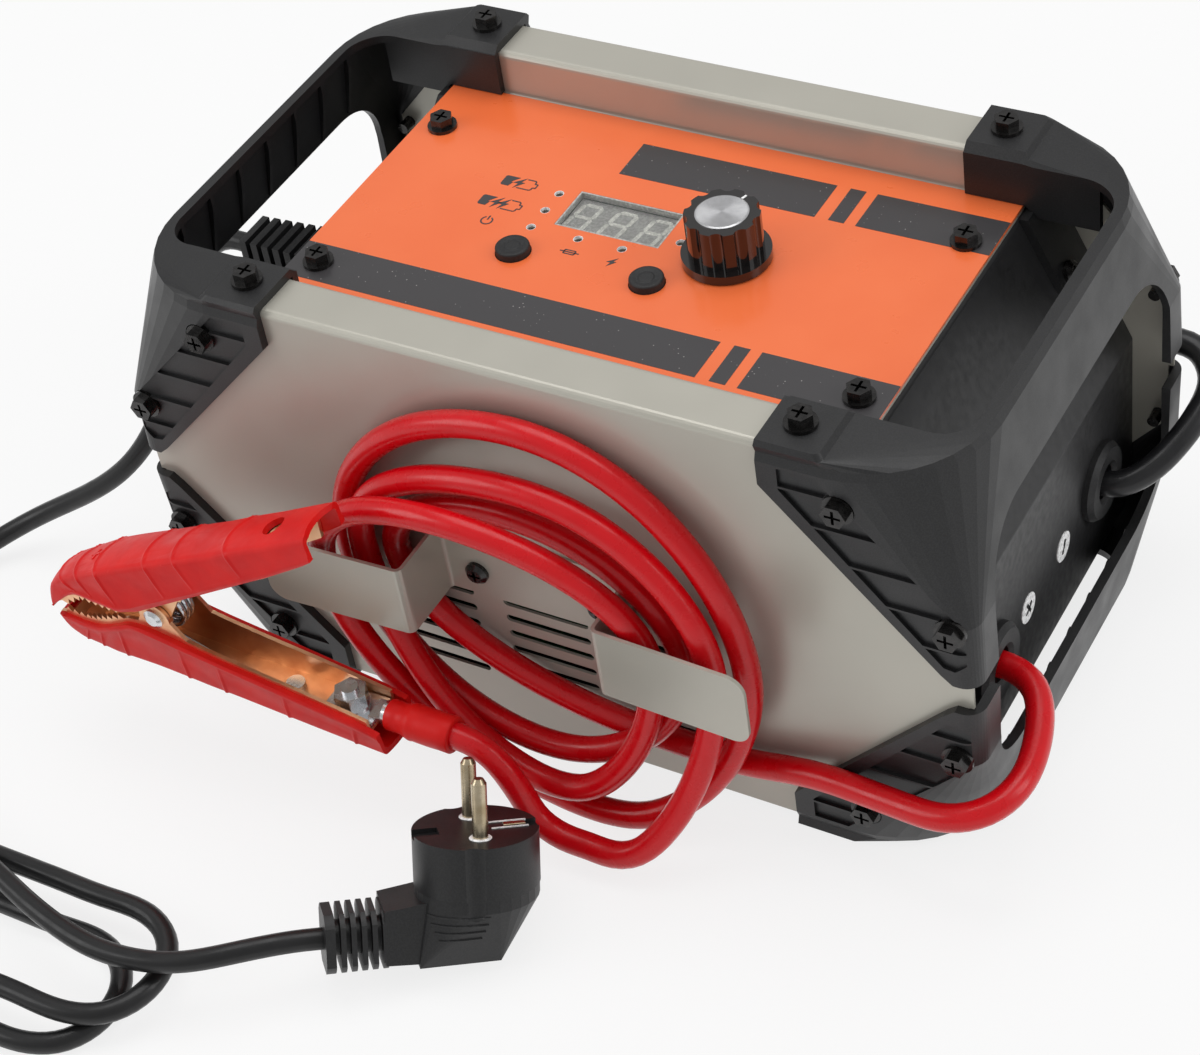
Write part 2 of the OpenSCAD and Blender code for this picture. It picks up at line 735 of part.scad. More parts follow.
module cable_hooks() {
  arm = hook_span / 2;
  z = z_bottom + hook_z;
  difference() {
    translate([0, 0, z]) linear_extrude(hook_h) folded([[-arm - hook_tab, -hook_tab_y - hook_spread],
      [-arm, -hook_tab_y], [-arm, -hook_y], [arm, -hook_y], [arm, -hook_tab_y],
      [arm + hook_tab, -hook_tab_y - hook_spread]], hook_t, 2);
    // rounded outer corners of the tabs
    both_x() for (s = [0, 1]) translate([arm + hook_tab - 6, -half_d, z + s * hook_h]) mirror([0, 0, s])
      along_y(80) difference() {
        translate([0, -1]) square([10, 7]);
        translate([0, 6]) circle(r = 6);
      }
    at_hook_screws() translate([0, 0, -5]) cylinder(d = bore_d, h = 10);
  }
}

module front_cable_hooks() { color([0.68, 0.68, 0.63]) cable_hooks(); }
module rear_cable_hooks() { color([0.68, 0.68, 0.63]) mirror([0, 1, 0]) cable_hooks(); }

// ---- what the leads come out of ----

grommet_out = 3.8;
grommet_in = 2.4;
lead_bore_d = lead_d + 2 * slip;

module grommets() {
  x0 = -end_t - grommet_in;
  color([0.07, 0.07, 0.08]) for (g = [grommet_rear, grommet_front])
    translate([plate_x, g[0], g[1]]) rotate([0, 90, 0]) rotate_extrude()
      polygon([[lead_bore_d / 2, x0], [grommet_neck_d / 2 + 2, x0], [grommet_neck_d / 2 + 2, -end_t],
        [grommet_neck_d / 2, -end_t], [grommet_neck_d / 2, 0], [grommet_d / 2, 0], [grommet_d / 2, 2],
        [grommet_d / 2 - 1.5, grommet_out], [lead_d / 2 + 3.2, grommet_out], [lead_d / 2 + 1.6, 2.6],
        [lead_d / 2 + 1.5, 0.6], [lead_bore_d / 2, 0.6]]);
}

marker_d = 10.5;

module polarity_markers() {
  bar = [1.1, 5.6];
  color([0.93, 0.93, 0.93]) {
    for (m = [marker_minus, marker_plus]) translate([plate_x, m[0], m[1]]) rotate([0, 90, 0])
      cylinder(d = marker_d, h = 0.3);
    translate([plate_x + 0.3, marker_minus[0], marker_minus[1]])
      cube([0.3, bar[1], bar[0]], center = true);
    translate([plate_x + 0.3, marker_plus[0], marker_plus[1]]) {
      cube([0.3, bar[1], bar[0]], center = true);
      cube([0.3, bar[0], bar[1]], center = true);
    }
  }
}

relief_x = on_slope(relief_z - 9) + 0.6;   // where the ribs start, clear of the slope
relief_l = 28;
relief_ribs = 6;
relief_w = 16.5;

module block(l, w) { translate([0, -w / 2, -w / 2]) cube([l, w, w]); }

module mains_strain_relief() {
  pitch = relief_l / relief_ribs;
  neck_in = on_slope(relief_z) - 8;
  color([0.07, 0.07, 0.08]) mirror([1, 0, 0]) translate([0, relief_y, relief_z]) {
    translate([neck_in, 0, 0]) block(relief_x - neck_in + relief_l, relief_neck - 1.6);
    translate([neck_in, 0, 0]) block(relief_x - neck_in + eps, relief_neck);
    for (k = [0 : relief_ribs - 1]) translate([relief_x + k * pitch, 0, 0])
      block(pitch * 0.55, relief_w - 0.35 * k);
  }
}

// ---- inside ----

main_board_z = z_bottom + sheet_t + 7;

module main_board() {
  color([0.1, 0.4, 0.2]) {
    translate([-board_l / 2, -board_w / 2, main_board_z]) cube([board_l, board_w, board_t]);
    four() translate([board_l / 2 - 6, board_w / 2 - 6, z_bottom + sheet_t])
      cylinder(d = 7, h = main_board_z - z_bottom - sheet_t);
  }
}

core = [58, 46, 48];
limb = 14;
transformer_at = [-52, -6];

module transformer() {
  color([0.25, 0.24, 0.24]) translate([transformer_at[0], transformer_at[1], main_board_z + board_t]) {
    difference() {
      translate([-core[0] / 2, -core[1] / 2 + 8, 0]) cube([core[0], core[1] - 16, core[2]]);
      for (s = [-1, 1]) translate([s * (core[0] / 2 - limb / 2 - 7.5) - 7.5, -core[1] / 2, 8])
        cube([15, core[1], core[2] - 16]);
    }
  }
  color([0.75, 0.45, 0.2]) translate([transformer_at[0], transformer_at[1], main_board_z + board_t + 8.2])
    difference() {
      translate([-core[0] / 2 + limb / 2 + 0.4, -core[1] / 2, 0])
        cube([core[0] - limb - 0.8, core[1], core[2] - 16.4]);
      translate([-limb / 2 - 0.2, -core[1] / 2 + 7.8, -1]) cube([limb + 0.4, core[1] - 15.6, core[2]]);
    }
}

sink_l = 84;
sink_h = 58;
sink_fins = 9;
sink_at = [42, -10];

module heat_sink() {
  color([0.75, 0.76, 0.78]) translate([sink_at[0], sink_at[1], main_board_z + board_t]) {
    translate([-sink_l / 2, -2.5, 0]) cube([sink_l, 5, sink_h]);
    for (k = [0 : sink_fins - 1]) translate([-sink_l / 2 + k * (sink_l - 1.6) / (sink_fins - 1), -18, 0])
      cube([1.6, 36, sink_h]);
  }
}

capacitor_d = 25;
capacitor_h = 42;

module capacitors() {
  color([0.15, 0.18, 0.3]) for (k = [0 : 3])
    translate([-board_l / 2 + 18 + k * (capacitor_d + 2), board_w / 2 - 16, main_board_z + board_t])
      cylinder(d = capacitor_d, h = capacitor_h);
}

fan_at = [-vent_column_pitch / 2, half_d - sheet_t - fan_depth / 2, z_bottom + 44];
fan_hub_d = 24;
fan_bush_d = 6;
fan_shaft_d = 3;

module at_fan() { translate(fan_at) rotate([-90, 0, 0]) children(); }

module fan_frame() {
  hole = fan_side - 3;
  color([0.1, 0.1, 0.11]) at_fan() {
    difference() {
      cube([fan_side, fan_side, fan_depth], center = true);
      cylinder(d = hole, h = fan_depth + 2, center = true);
      for (sx = [-1, 1]) for (sy = [-1, 1])
        translate([sx * (fan_side / 2 - 5), sy * (fan_side / 2 - 5), 0])
          cylinder(d = 4.3, h = fan_depth + 2, center = true);
    }
    difference() {
      union() {
        translate([0, 0, -fan_depth / 2]) cylinder(d = fan_hub_d, h = 2);
        translate([0, 0, -fan_depth / 2]) cylinder(d = fan_bush_d, h = 9);
        for (a = [45, 135]) rotate([0, 0, a]) translate([-hole / 2 - 0.5, -1.5, -fan_depth / 2])
          cube([hole + 1, 3, 2]);
      }
      translate([0, 0, -fan_depth / 2 - 1]) cylinder(d = fan_shaft_d + 2 * slip, h = 20);
    }
  }
}

module fan_rotor() {
  hub_z = -fan_depth / 2 + 2.5;
  hub_h = fan_depth - 3.5;
  color([0.16, 0.16, 0.17]) at_fan() {
    difference() {
      translate([0, 0, hub_z]) cylinder(d = fan_hub_d, h = hub_h);
      translate([0, 0, hub_z - 1]) cylinder(d = fan_bush_d + 1, h = hub_h - 1);
    }
    translate([0, 0, -fan_depth / 2]) cylinder(d = fan_shaft_d, h = fan_depth - 2);
    for (k = [0 : fan_blades - 1]) rotate([0, 0, 360 / fan_blades * k])
      translate([fan_hub_d / 2 - 1, 0, hub_z + hub_h / 2]) rotate([38, 0, 0])
        translate([0, -6.2, -0.6]) cube([fan_side / 2 - 3 - fan_hub_d / 2, 12.4, 1.2]);
  }
}

// ---- battery clamps, in the frame of the rivet: x to the tail, y across, z up ----

clamp_at = [-118.2, -half_d - 41.5, z_bottom + 58.7];
black_drop = 20;                               // how much lower the black clamp lies
jaw_gap = 0.2;
jaw_out = clamp_w / 2 - grip_wall - jaw_gap;   // outer face of the copper cheeks
jaw_in = jaw_out - jaw_t;
ear_gap = 0.2;
ear_out = jaw_in - ear_gap;                    // the upper ears run inside the lower ones
ear_in = ear_out - jaw_t;
ear_r = rivet_d / 2 + 3.5;
pivot_room = 12;
sleeve_z = -20;

module at_red() { translate(clamp_at) children(); }
module at_black() { mirror([0, 1, 0]) translate(clamp_at - [0, 0, black_drop]) children(); }

// Plan of the clamp: full width at the pivot, drawn in at the nose
module clamp_plan(half_w) {
  nose = 2.5;
  polygon([[-70, -half_w + nose], [-45, -half_w + nose], [-20, -half_w], [140, -half_w],
    [140, half_w], [-20, half_w], [-45, half_w - nose], [-70, half_w - nose]]);
}

module layer(half_w) {
  intersection() {
    along_y(2 * half_w) children();
    translate([0, 0, -60]) linear_extrude(160) clamp_plan(half_w);
  }
}

clamp_low = -23.6;   // bottom of the lower arm under the rivet
tail_low = -30.4;    // and at its end
lower_outside = [[-45, -15.5], [-44.6, -19], [-42, -22], [-36, -24], [-27, clamp_low], [-3, clamp_low],
  [17, -25.4], [44, -27.4], [84, tail_low], [86, -28], [84.6, -21.2]];
lower_edge = [[80.4, -19.4], [66, -16.9], [51, -14.4], [32, -11.8], [17, -9.3], [8.3, -7.5], [2, -6.3],
  [-3.2, -5.5], [-7.6, -4.9], [-12, -5.6], [-19.3, -9.4], [-27.5, -13], [-34, -14.5], [-40, -14.8]];
upper_outside = [[-46, -11.5], [-47.2, -8], [-46, -3], [-42.5, 1], [-31.8, 8.4], [-19, 16.2], [17.7, 34.2],
  [48.5, 49.7], [74.1, 63.2]];
upper_edge = [[75.2, 53.4], [66.4, 47.1], [53.2, 38.4], [44.3, 33.1], [31.8, 25.5], [21.2, 19], [9.4, 11.7],
  [2.1, 7.4], [-3, 3.8], [-7.7, 1.5], [-12.3, -0.2], [-16.5, -0.7], [-25, -0.8], [-29, -0.8], [-33, -1.8],
  [-37.5, -4.2], [-41, -7.5]];

// The hollow of an arm: its outline drawn in by the wall, open towards the other arm
module lower_hollow(wall) {
  polygon([[-60, 10], [-60, -17], [-45.5 + wall, -17], [-43.5 + wall, -21.5 + wall / 2],
    [-36 + wall / 2, -24 + wall], [-27, clamp_low + wall], [-3, clamp_low + wall],
    [84, tail_low + wall], [100, tail_low - 1.2 + wall], [100, 10]]);
}

module upper_hollow(wall) {
  polygon([[-60, -30], [-46.5 + wall, -12], [-47 + wall, -8], [-45.8 + wall, -3 - wall / 2],
    [-42.5 + wall * 0.7, 1 - wall * 0.7], [-31.8 + wall / 2, 8.4 - wall], [-19 + wall / 2, 16.2 - wall],
    [17.7 + wall / 2, 34.2 - wall], [48.5 + wall / 2, 49.7 - wall], [100, 76 - wall],
    [120, 60], [60, 20], [10, -30]]);
}

arm_slope = -27;     // how the upper arm's crown leans
hole_at = [55, 0, 53];

module grip_lower() {
  difference() {
    layer(clamp_w / 2) polygon(concat(lower_outside, lower_edge));
    layer(clamp_w / 2 - grip_wall) lower_hollow(grip_wall);
  }
}

module grip_upper() {
  difference() {
    layer(clamp_w / 2) polygon(concat(upper_outside, upper_edge));
    layer(clamp_w / 2 - grip_wall) upper_hollow(grip_wall);
    // hollowed end, and the hole ahead of it
    translate([87.9, 0, 70]) rotate([0, arm_slope, 0]) cylinder(r = 18, h = 8, center = true);
    translate(hole_at) rotate([0, arm_slope, 0]) cylinder(d = 8, h = 16, center = true);
  }
}

// A row of teeth along a line, on its left, with a foot that sinks into the jaw
module teeth(from, to, count) {
  step = (to - from) / count;
  up = left_of(unit(step)) * tooth_h;
  polygon(concat([from - up / 2], [for (k = [0 : count - 1]) each [from + step * k, from + step * (k + 0.5) + up]],
    [to, to - up / 2]));
}

jaw_floor = -22;     // inside face of the lower jaw, behind the rivet
bolt_x = 67.5;
bolt_d = 6;
stay_x = 45.4;       // the small screw that holds the floor to the grip
stay_d = 4;

module above(z) {
  intersection() {
    children();
    translate([-70, z]) square([200, 60]);
  }
}

module jaw_lower() {
  inside = grip_wall + jaw_gap + jaw_t;
  difference() {
    union() {
      layer(jaw_out) above(jaw_floor - jaw_t) {
        intersection() {
          polygon(concat(lower_outside, [for (p = lower_edge) p + [0, 1.2]]));
          lower_hollow(grip_wall + jaw_gap);
        }
        teeth([-42, -13.7], [-29.6, -12.6], 4);
        teeth([-30, -12.8], [-14, -5.4], 6);
      }
      // ears that carry the rivet
      layer(jaw_out) circle(r = ear_r);
      layer(jaw_out) polygon([[-ear_r + 0.6, 0], [ear_r - 0.4, 0], [15, -12], [-11, -10]]);
    }
    layer(jaw_in) above(jaw_floor) lower_hollow(inside);
    translate([78, -20, -60]) cube([20, 40, 80]);
    along_y(40) circle(d = rivet_d + 2 * slip);
    translate([stay_x, 0, -40]) cylinder(d = stay_d + 0.3, h = 20);
    translate([bolt_x, 0, -40]) cylinder(d = bolt_d + 0.3, h = 20);
  }
}

module jaw_upper() {
  inside = grip_wall + jaw_gap + jaw_t;
  difference() {
    union() {
      difference() {
        layer(jaw_out) {
          intersection() {
            polygon(concat(upper_outside, [for (p = upper_edge) p + [0, -1.2]]));
            upper_hollow(grip_wall + jaw_gap);
          }
          teeth([-15, -1.7], [-33, -2.8], 6);
          teeth([-32.6, -2.8], [-42, -9.6], 3);
        }
        layer(jaw_in) upper_hollow(inside);
        along_y(40) circle(r = pivot_room);
        translate([67, -20, 0]) cube([30, 40, 120]);
      }
      for (s = [-1, 1]) {
        translate([0, s * (ear_out + ear_in) / 2, 0]) along_y(jaw_t) {
          circle(r = ear_r - 0.5);
          polygon([[-5.4, 1], [5.4, 0], [19, 24], [6, 22], [-6, 14]]);
        }
        // joggle between the ears and the cheeks
        translate([0, s * (ear_out + jaw_in) / 2, 0]) along_y(jaw_in - ear_out + 0.6) difference() {
          polygon([[-8, 10], [13, 11], [19, 24], [6, 22.5], [-6, 16]]);
          circle(r = pivot_room + 0.3);
        }
      }
    }
    along_y(40) circle(d = rivet_d + 2 * slip);
    translate(hole_at) rotate([0, arm_slope, 0]) cylinder(d = 8, h = 16, center = true);
  }
}

rivet_head_d = 7.2;

module rivet() {
  along_y(2 * jaw_out) circle(d = rivet_d);
  for (s = [-1, 1]) translate([0, s * jaw_out, 0]) rotate([-90 * s, 0, 0]) {
    cylinder(d = rivet_head_d, h = 0.7);
    translate([0, 0, 0.7]) cylinder(d1 = rivet_head_d, d2 = rivet_head_d - 2.8, h = 0.9);
  }
}

spring_turns = 3;
spring_rings = 8;
leg_low = -110;      // where the lower leg meets the coil, degrees
leg_high = -225;     // where the upper leg leaves it
leg_low_l = 39;
leg_high_l = 15;

function coil_at(a, y) = [spring_d / 2 * cos(a), y, spring_d / 2 * sin(a)];
function coil_ahead(a) = [sin(a), 0, -cos(a)];

module spring() {
  turned = leg_low - leg_high + 360 * spring_turns;
  rings = ceil(turned / 360 * spring_rings);
  span = 2 * ear_in - spring_wire - 0.8;
  first = coil_at(leg_low, -span / 2);
  last = coil_at(leg_high, span / 2);
  tube(concat(
    [first - coil_ahead(leg_low) * leg_low_l, first - coil_ahead(leg_low) * 4],
    [for (k = [0 : rings]) coil_at(leg_low - turned * k / rings, -span / 2 + span * k / rings)],
    [last + coil_ahead(leg_high) * 4, last + coil_ahead(leg_high) * leg_high_l]), spring_wire, 6);
}

lug_plate_t = 1.6;
barrel_d = lead_d;
barrel_x = 80.5;
barrel_l = 9.5;

module lug_bolts() {
  z = jaw_floor + slip;
  washer_t = 0.8;
  difference() {
    union() {
      translate([59, -6, z]) cube([19, 12, lug_plate_t]);
      translate([76, -4, z]) cube([6, 8, sleeve_z - z + 1]);
      translate([barrel_x, 0, sleeve_z]) rotate([0, 90, 0]) cylinder(d = barrel_d, h = barrel_l);
    }
    translate([bolt_x, 0, -50]) cylinder(d = bolt_d + 0.3, h = 40);
  }
  // bolt with its nut, and the small screw
  translate([bolt_x, 0, z + lug_plate_t]) cylinder(d = 12, h = washer_t);
  translate([bolt_x, 0, z + lug_plate_t + washer_t]) cylinder(d = 10 / cos(30), h = 5, $fn = 6);
  translate([bolt_x, 0, jaw_floor - jaw_t]) cylinder(d = bolt_d, h = 10.6);
  translate([stay_x, 0, jaw_floor]) cylinder(d = 6.4, h = 2.4);
  translate([stay_x, 0, jaw_floor - jaw_t]) cylinder(d = stay_d, h = 2);
}

sleeve_neck_d = lead_d + 1.6;
sleeve_d = lead_d + 3.5;
sleeve_end = 106;

module sleeve() {
  translate([0, 0, sleeve_z]) rotate([0, 90, 0]) difference() {
    union() {
      translate([0, 0, 82]) cylinder(d = sleeve_neck_d, h = 8);
      translate([0, 0, 88]) cylinder(d1 = sleeve_neck_d, d2 = sleeve_d, h = 3);
      translate([0, 0, 91 - eps]) cylinder(d = sleeve_d, h = sleeve_end - 91 + eps);
    }
    translate([0, 0, 70]) cylinder(d = lead_bore_d, h = 50);
  }
}

module red_jaw_lower() { color([0.8, 0.5, 0.35]) at_red() jaw_lower(); }
module red_jaw_upper() { color([0.8, 0.5, 0.35]) at_red() jaw_upper(); }
module red_grip_lower() { color([0.85, 0.18, 0.16]) at_red() grip_lower(); }
module red_grip_upper() { color([0.85, 0.18, 0.16]) at_red() grip_upper(); }
module red_rivet() { color([0.85, 0.86, 0.88]) at_red() rivet(); }
module red_spring() { color([0.8, 0.82, 0.85]) at_red() spring(); }
module red_lug_bolts() { color([0.78, 0.76, 0.7]) at_red() lug_bolts(); }
module red_sleeve() { color([0.85, 0.2, 0.16]) at_red() sleeve(); }
module black_jaw_lower() { color([0.8, 0.5, 0.35]) at_black() jaw_lower(); }
module black_jaw_upper() { color([0.8, 0.5, 0.35]) at_black() jaw_upper(); }
module black_grip_lower() { color([0.1, 0.1, 0.11]) at_black() grip_lower(); }
module black_grip_upper() { color([0.1, 0.1, 0.11]) at_black() grip_upper(); }
module black_rivet() { color([0.85, 0.86, 0.88]) at_black() rivet(); }
module black_spring() { color([0.8, 0.82, 0.85]) at_black() spring(); }
module black_lug_bolts() { color([0.78, 0.76, 0.7]) at_black() lug_bolts(); }
module black_sleeve() { color([0.08, 0.08, 0.09]) at_black() sleeve(); }

// ---- battery leads ----

lead_sides = 10;
quarter_rings = 6;

// The coil on the hooks: the points where it runs level or upright, in the order
// bottom, left, top, right, and a quarter of an ellipse between each two
coil_points = [
  [48.5, -87, 26.5],
  [-48.5, -87, 79.5], [-3.5, -87.5, 108.5], [55, -90.5, 68.5], [5, -99, 21],
  [-67, -87, 76], [7, -87, 144], [76.5, -90, 68.5], [29, -107.5, 7.5],
  [-69.5, -99, 75], [-13, -105, 117], [48.5, -99, 71.5], [16.5, -111.5, 18.5],
  [-57, -92.5, 85.5], [9.5, -94.5, 127.5], [69.5, -98.5, 76], [40, -124, 9.5]];

function quarter(a, b, level, u) =
  let (w = (1 - cos(2 * u)) / 2)
  level ? [a[0] + (b[0] - a[0]) * sin(u), a[1] + (b[1] - a[1]) * w, b[2] + (a[2] - b[2]) * cos(u)]
        : [b[0] + (a[0] - b[0]) * cos(u), a[1] + (b[1] - a[1]) * w, a[2] + (b[2] - a[2]) * sin(u)];

function lead_coil(rings) = concat([coil_points[0] + [lead_d, 0, 0]],
  [for (i = [0 : len(coil_points) - 2]) for (k = [0 : rings - 1])
    quarter(coil_points[i], coil_points[i + 1], i % 2 == 0, 90 * k / rings)],
  [coil_points[len(coil_points) - 1], coil_points[len(coil_points) - 1] - [lead_d, 0, 0]]);

// Least distance between parts of a path that lie more than `apart` along it, less its diameter
function lengths(p) = [for (i = 0, s = 0; i < len(p);
  i = i + 1, s = i < len(p) ? s + norm(p[i] - p[i - 1]) : s) s];
function to_segment(p, a, b) =
  let (t = max(0, min(1, (p - a) * (b - a) / ((b - a) * (b - a))))) norm(p - a - t * (b - a));
function self_gap(p, d, apart) =
  let (s = lengths(p))
  min([for (i = [0 : len(p) - 1]) for (j = [i + 1 : 1 : len(p) - 2])
    if (s[j] - s[i] > apart) to_segment(p[i], p[j], p[j + 1])]) - d;

coil_start = coil_points[0] + [lead_d, 0, 0];
coil_end = coil_points[len(coil_points) - 1] - [lead_d, 0, 0];
lead_in_x = plate_x - end_t - grommet_in;

red_route = [[lead_in_x, -37, 47], [138, -37, 47], [147, -41.5, 47], [153.5, -52, 46], [157, -65, 45],
  [157.5, -78, 44.5], [152.5, -89, 43], [142, -94, 40], [128, -92.8, 37], [112, -90, 34.5], [95, -88, 32.3],
  [79, -87.1, 28.6], coil_start + [lead_d, 0, 0], coil_start];
tail_x = clamp_at[0] + barrel_x + barrel_l;
tail_z = clamp_at[2] + sleeve_z;
tail_route = [coil_end, coil_end - [5, 0, 0], [18.9, -124, 11.1], [13, -123.8, 15.6], [9.6, -123.5, 22.2],
  [6.2, -123.2, 28.9], [1.5, -123, 36], [-5.5, -123, tail_z - 0.9], [-11, -123, tail_z],
  [tail_x, -123, tail_z]];
black_tail_z = tail_z - black_drop;
black_tail_route = [coil_end, coil_end - [5, 0, 0], [18.9, -124, 10.3], [12, -123.8, 13], [5.5, -123.5, 16.8],
  [-1, -123.1, 20], [-6.5, -123, black_tail_z - 0.3], [-11, -123, black_tail_z], [tail_x, -123, black_tail_z]];
black_route = [[lead_in_x, 49, 49], [138, 49, 49], [146.5, 55, 52], [152.5, 65, 57], [156.3, 77, 63],
  [156, 88, 68.5], [149, 95.5, 72], [137, 97, 72], [124, 94.5, 67], [112, 91.5, 58.5], [101, 89.2, 49],
  [90, 87.5, 39.5], [79, 87, 30.8], [coil_start[0] + lead_d, -coil_start[1], coil_start[2]],
  [coil_start[0], -coil_start[1], coil_start[2]]];

module red_lead() {
  color([0.8, 0.1, 0.12]) {
    tube(red_route, lead_d, lead_sides);
    tube(tail_route, lead_d, lead_sides);
  }
}

module black_lead() {
  color([0.07, 0.07, 0.08]) {
    tube(black_route, lead_d, lead_sides);
    mirror([0, 1, 0]) tube(black_tail_route, lead_d, lead_sides);
  }
}

module red_coil() { color([0.8, 0.1, 0.12]) tube(lead_coil(quarter_rings), lead_d, 6); }
module black_coil() {
  color([0.07, 0.07, 0.08]) mirror([0, 1, 0]) tube(lead_coil(quarter_rings), lead_d, 6);
}

echo(battery_lead_gap = self_gap(lead_coil(quarter_rings), lead_d, 40));

// ---- mains lead, laid on the surface ----

hank_run = 125;
hank_r = 21;
hank_turns = 2;
hank_rings = 24;
mains_z = mains_d / 2 + 0.1;
layer_h = mains_d + 0.5;
// middle of the right-hand fold for each turn
hank_middles = [[-99, -235], [-87, -224], [-87, -224]];

// Height: each turn lies a layer above the last, and climbs just before its end
function hank_layer(t) = floor(t) + smooth(max(0, min(1, (t - floor(t) - 0.7) / 0.18)));
function hank_middle(t) =
  let (i = min(floor(t), hank_turns - 1), w = smooth(max(0, min(1, (t - i - 0.6) / 0.38))))
  hank_middles[i] * (1 - w) + hank_middles[i + 1] * w;

// A point at distance s along one turn, from the start of its rear run
function hank_turn(s) =
  let (fold = PI * hank_r)
  s < hank_run ? [s - hank_run, hank_r]
  : s < hank_run + fold ? hank_r * [sin((s - hank_run) / fold * 180), cos((s - hank_run) / fold * 180)]
  : s < 2 * hank_run + fold ? [hank_run + fold - s, -hank_r]
  : let (a = (s - 2 * hank_run - fold) / fold * 180) [-hank_run - hank_r * sin(a), -hank_r * cos(a)];

hank_turn_l = 2 * hank_run + 2 * PI * hank_r;
function hank_point(t) =
  let (p = hank_middle(t) + hank_turn((t - floor(t)) * hank_turn_l))
  [p[0], p[1], mains_z + layer_h * hank_layer(t)];
function hank() =
  let (end = [hank_middles[hank_turns][0] - hank_run, hank_middles[hank_turns][1] + hank_r,
    mains_z + layer_h * hank_turns])
  [for (k = [0 : hank_turns * hank_rings - 1]) hank_point(k / hank_rings), end, end + [mains_d, 0, 0]];
hank_start = hank_point(0);
hank_end = hank()[hank_turns * hank_rings + 1];

relief_tip = [-relief_x - relief_l, relief_y, relief_z];
mains_route = [relief_tip, [-158, -8, 115], [-166, -10.5, 111], [-171.5, -19, 100], [-173, -30, 85],
  [-175, -41, 69], [-180, -50.5, 54], [-191, -58, 40], [-207, -63.5, 28], [-225, -69, 17.5],
  [-240, -79, 9.5], [-250, -94, 5], [-255, -113, 3.6], [-257.5, -134, 3.6], [-259, -154, 3.6],
  [-259.3, -172, 3.6], [-259, -186, 3.6], [-256.9, -196.7, 3.6], [-250.8, -205.8, 3.6],
  [-241.7, -211.9, 3.6], hank_start - [mains_d, 0, 0], hank_start];

// The plug leans back on the edge of its body. Its own frame: z along the pins,
// -x towards its cable, y along the line of the pins, origin in the middle of its face
plug_at = [9.6, -149.2, 36.2];
plug_turn = [-26.8, 11.9, 40.4];
plug_back = 40;
cable_x = 48;
cable_z = -31;

module at_plug() { translate(plug_at) rotate(plug_turn) children(); }

// The same turn for a point, so that the lead ends square on the plug's strain relief
function rot_x(p, a) = [p[0], p[1] * cos(a) - p[2] * sin(a), p[1] * sin(a) + p[2] * cos(a)];
function rot_y(p, a) = [p[0] * cos(a) + p[2] * sin(a), p[1], p[2] * cos(a) - p[0] * sin(a)];
function rot_z(p, a) = [p[0] * cos(a) - p[1] * sin(a), p[0] * sin(a) + p[1] * cos(a), p[2]];
function on_plug(p) = plug_at + rot_z(rot_y(rot_x(p, plug_turn[0]), plug_turn[1]), plug_turn[2]);
plug_end = on_plug([-cable_x, 0, cable_z]);
plug_before = on_plug([-cable_x - mains_d, 0, cable_z]);

plug_route = [hank_end, [-188, -203.2, 18.6], [-168, -205, 18.6],
  [-150, -208.5, 18.6], [-133, -213.5, 18.6], [-118, -218.5, 18.6], [-103, -222.5, 18.6],
  [-87, -225, 18.8], [-70, -224, 19.6], [-55, -219.5, 21], [-43, -212, 22], plug_before, plug_end];

module mains_lead() {
  color([0.07, 0.07, 0.08]) {
    tube(mains_route, mains_d, 8);
    tube(plug_route, mains_d, 8);
  }
}

module mains_coil() { color([0.07, 0.07, 0.08]) tube(hank(), mains_d, 6); }

echo(mains_lead_gap = self_gap(hank(), mains_d, 40));

module plug_relief() {
  ribs = 5;
  start = 29;
  pitch = (cable_x - start - 3) / ribs;
  translate([-cable_x, 0, cable_z]) rotate([0, 90, 0]) {
    cylinder(d = 11, h = cable_x - start + 2);
    intersection() {
      union() {
        cylinder(d = 22, h = 3);
        for (k = [0 : ribs - 1]) translate([0, 0, 4.6 + k * pitch]) cylinder(d = 22, h = pitch * 0.5);
      }
      cube([19, 18, 80], center = true);
    }
  }
}

module mains_plug() {
  r = plug_d / 2;
  face_h = 17;
  color([0.1, 0.1, 0.11]) difference() {
    at_plug() difference() {
      union() {
        translate([0, 0, -face_h]) cylinder(r = r, h = face_h);
        hull() {
          translate([0, 0, -face_h - 4]) cylinder(r = r - 0.3, h = 4.5, $fn = hull_fn);
          translate([-20, -10, -plug_back]) cube([25, 20, 1]);
        }
        hull() {
          translate([-15, -9.5, -plug_back + 1]) cube([1, 19, 20]);
          translate([-30, -9, -plug_back + 1.5]) cube([1, 18, 17.5]);
        }
        plug_relief();
      }
      // pin holes, earth contacts and the flats of the rim
      for (s = [-1, 1]) translate([0, s * pin_gap / 2, -10]) cylinder(d = pin_d, h = 20);
      for (s = [-1, 1]) translate([s * (r - 4), 0, 0]) cube([8.1, 6, 3], center = true);
      for (s = [-1, 1]) translate([-4, s * (r + 3.4), -face_h - 10]) cylinder(d = 10, h = 40);
    }
    translate([-200, -400, -100]) cube([400, 400, 100]);
  }
}

module plug_pins() {
  color([0.8, 0.76, 0.66]) at_plug() for (s = [-1, 1]) translate([0, s * pin_gap / 2, 0]) {
    translate([0, 0, -10]) cylinder(d = pin_d, h = 10 + pin_l - 1.5);
    translate([0, 0, pin_l - 1.5]) cylinder(d1 = pin_d, d2 = pin_d - 1.8, h = 1.5);
  }
}

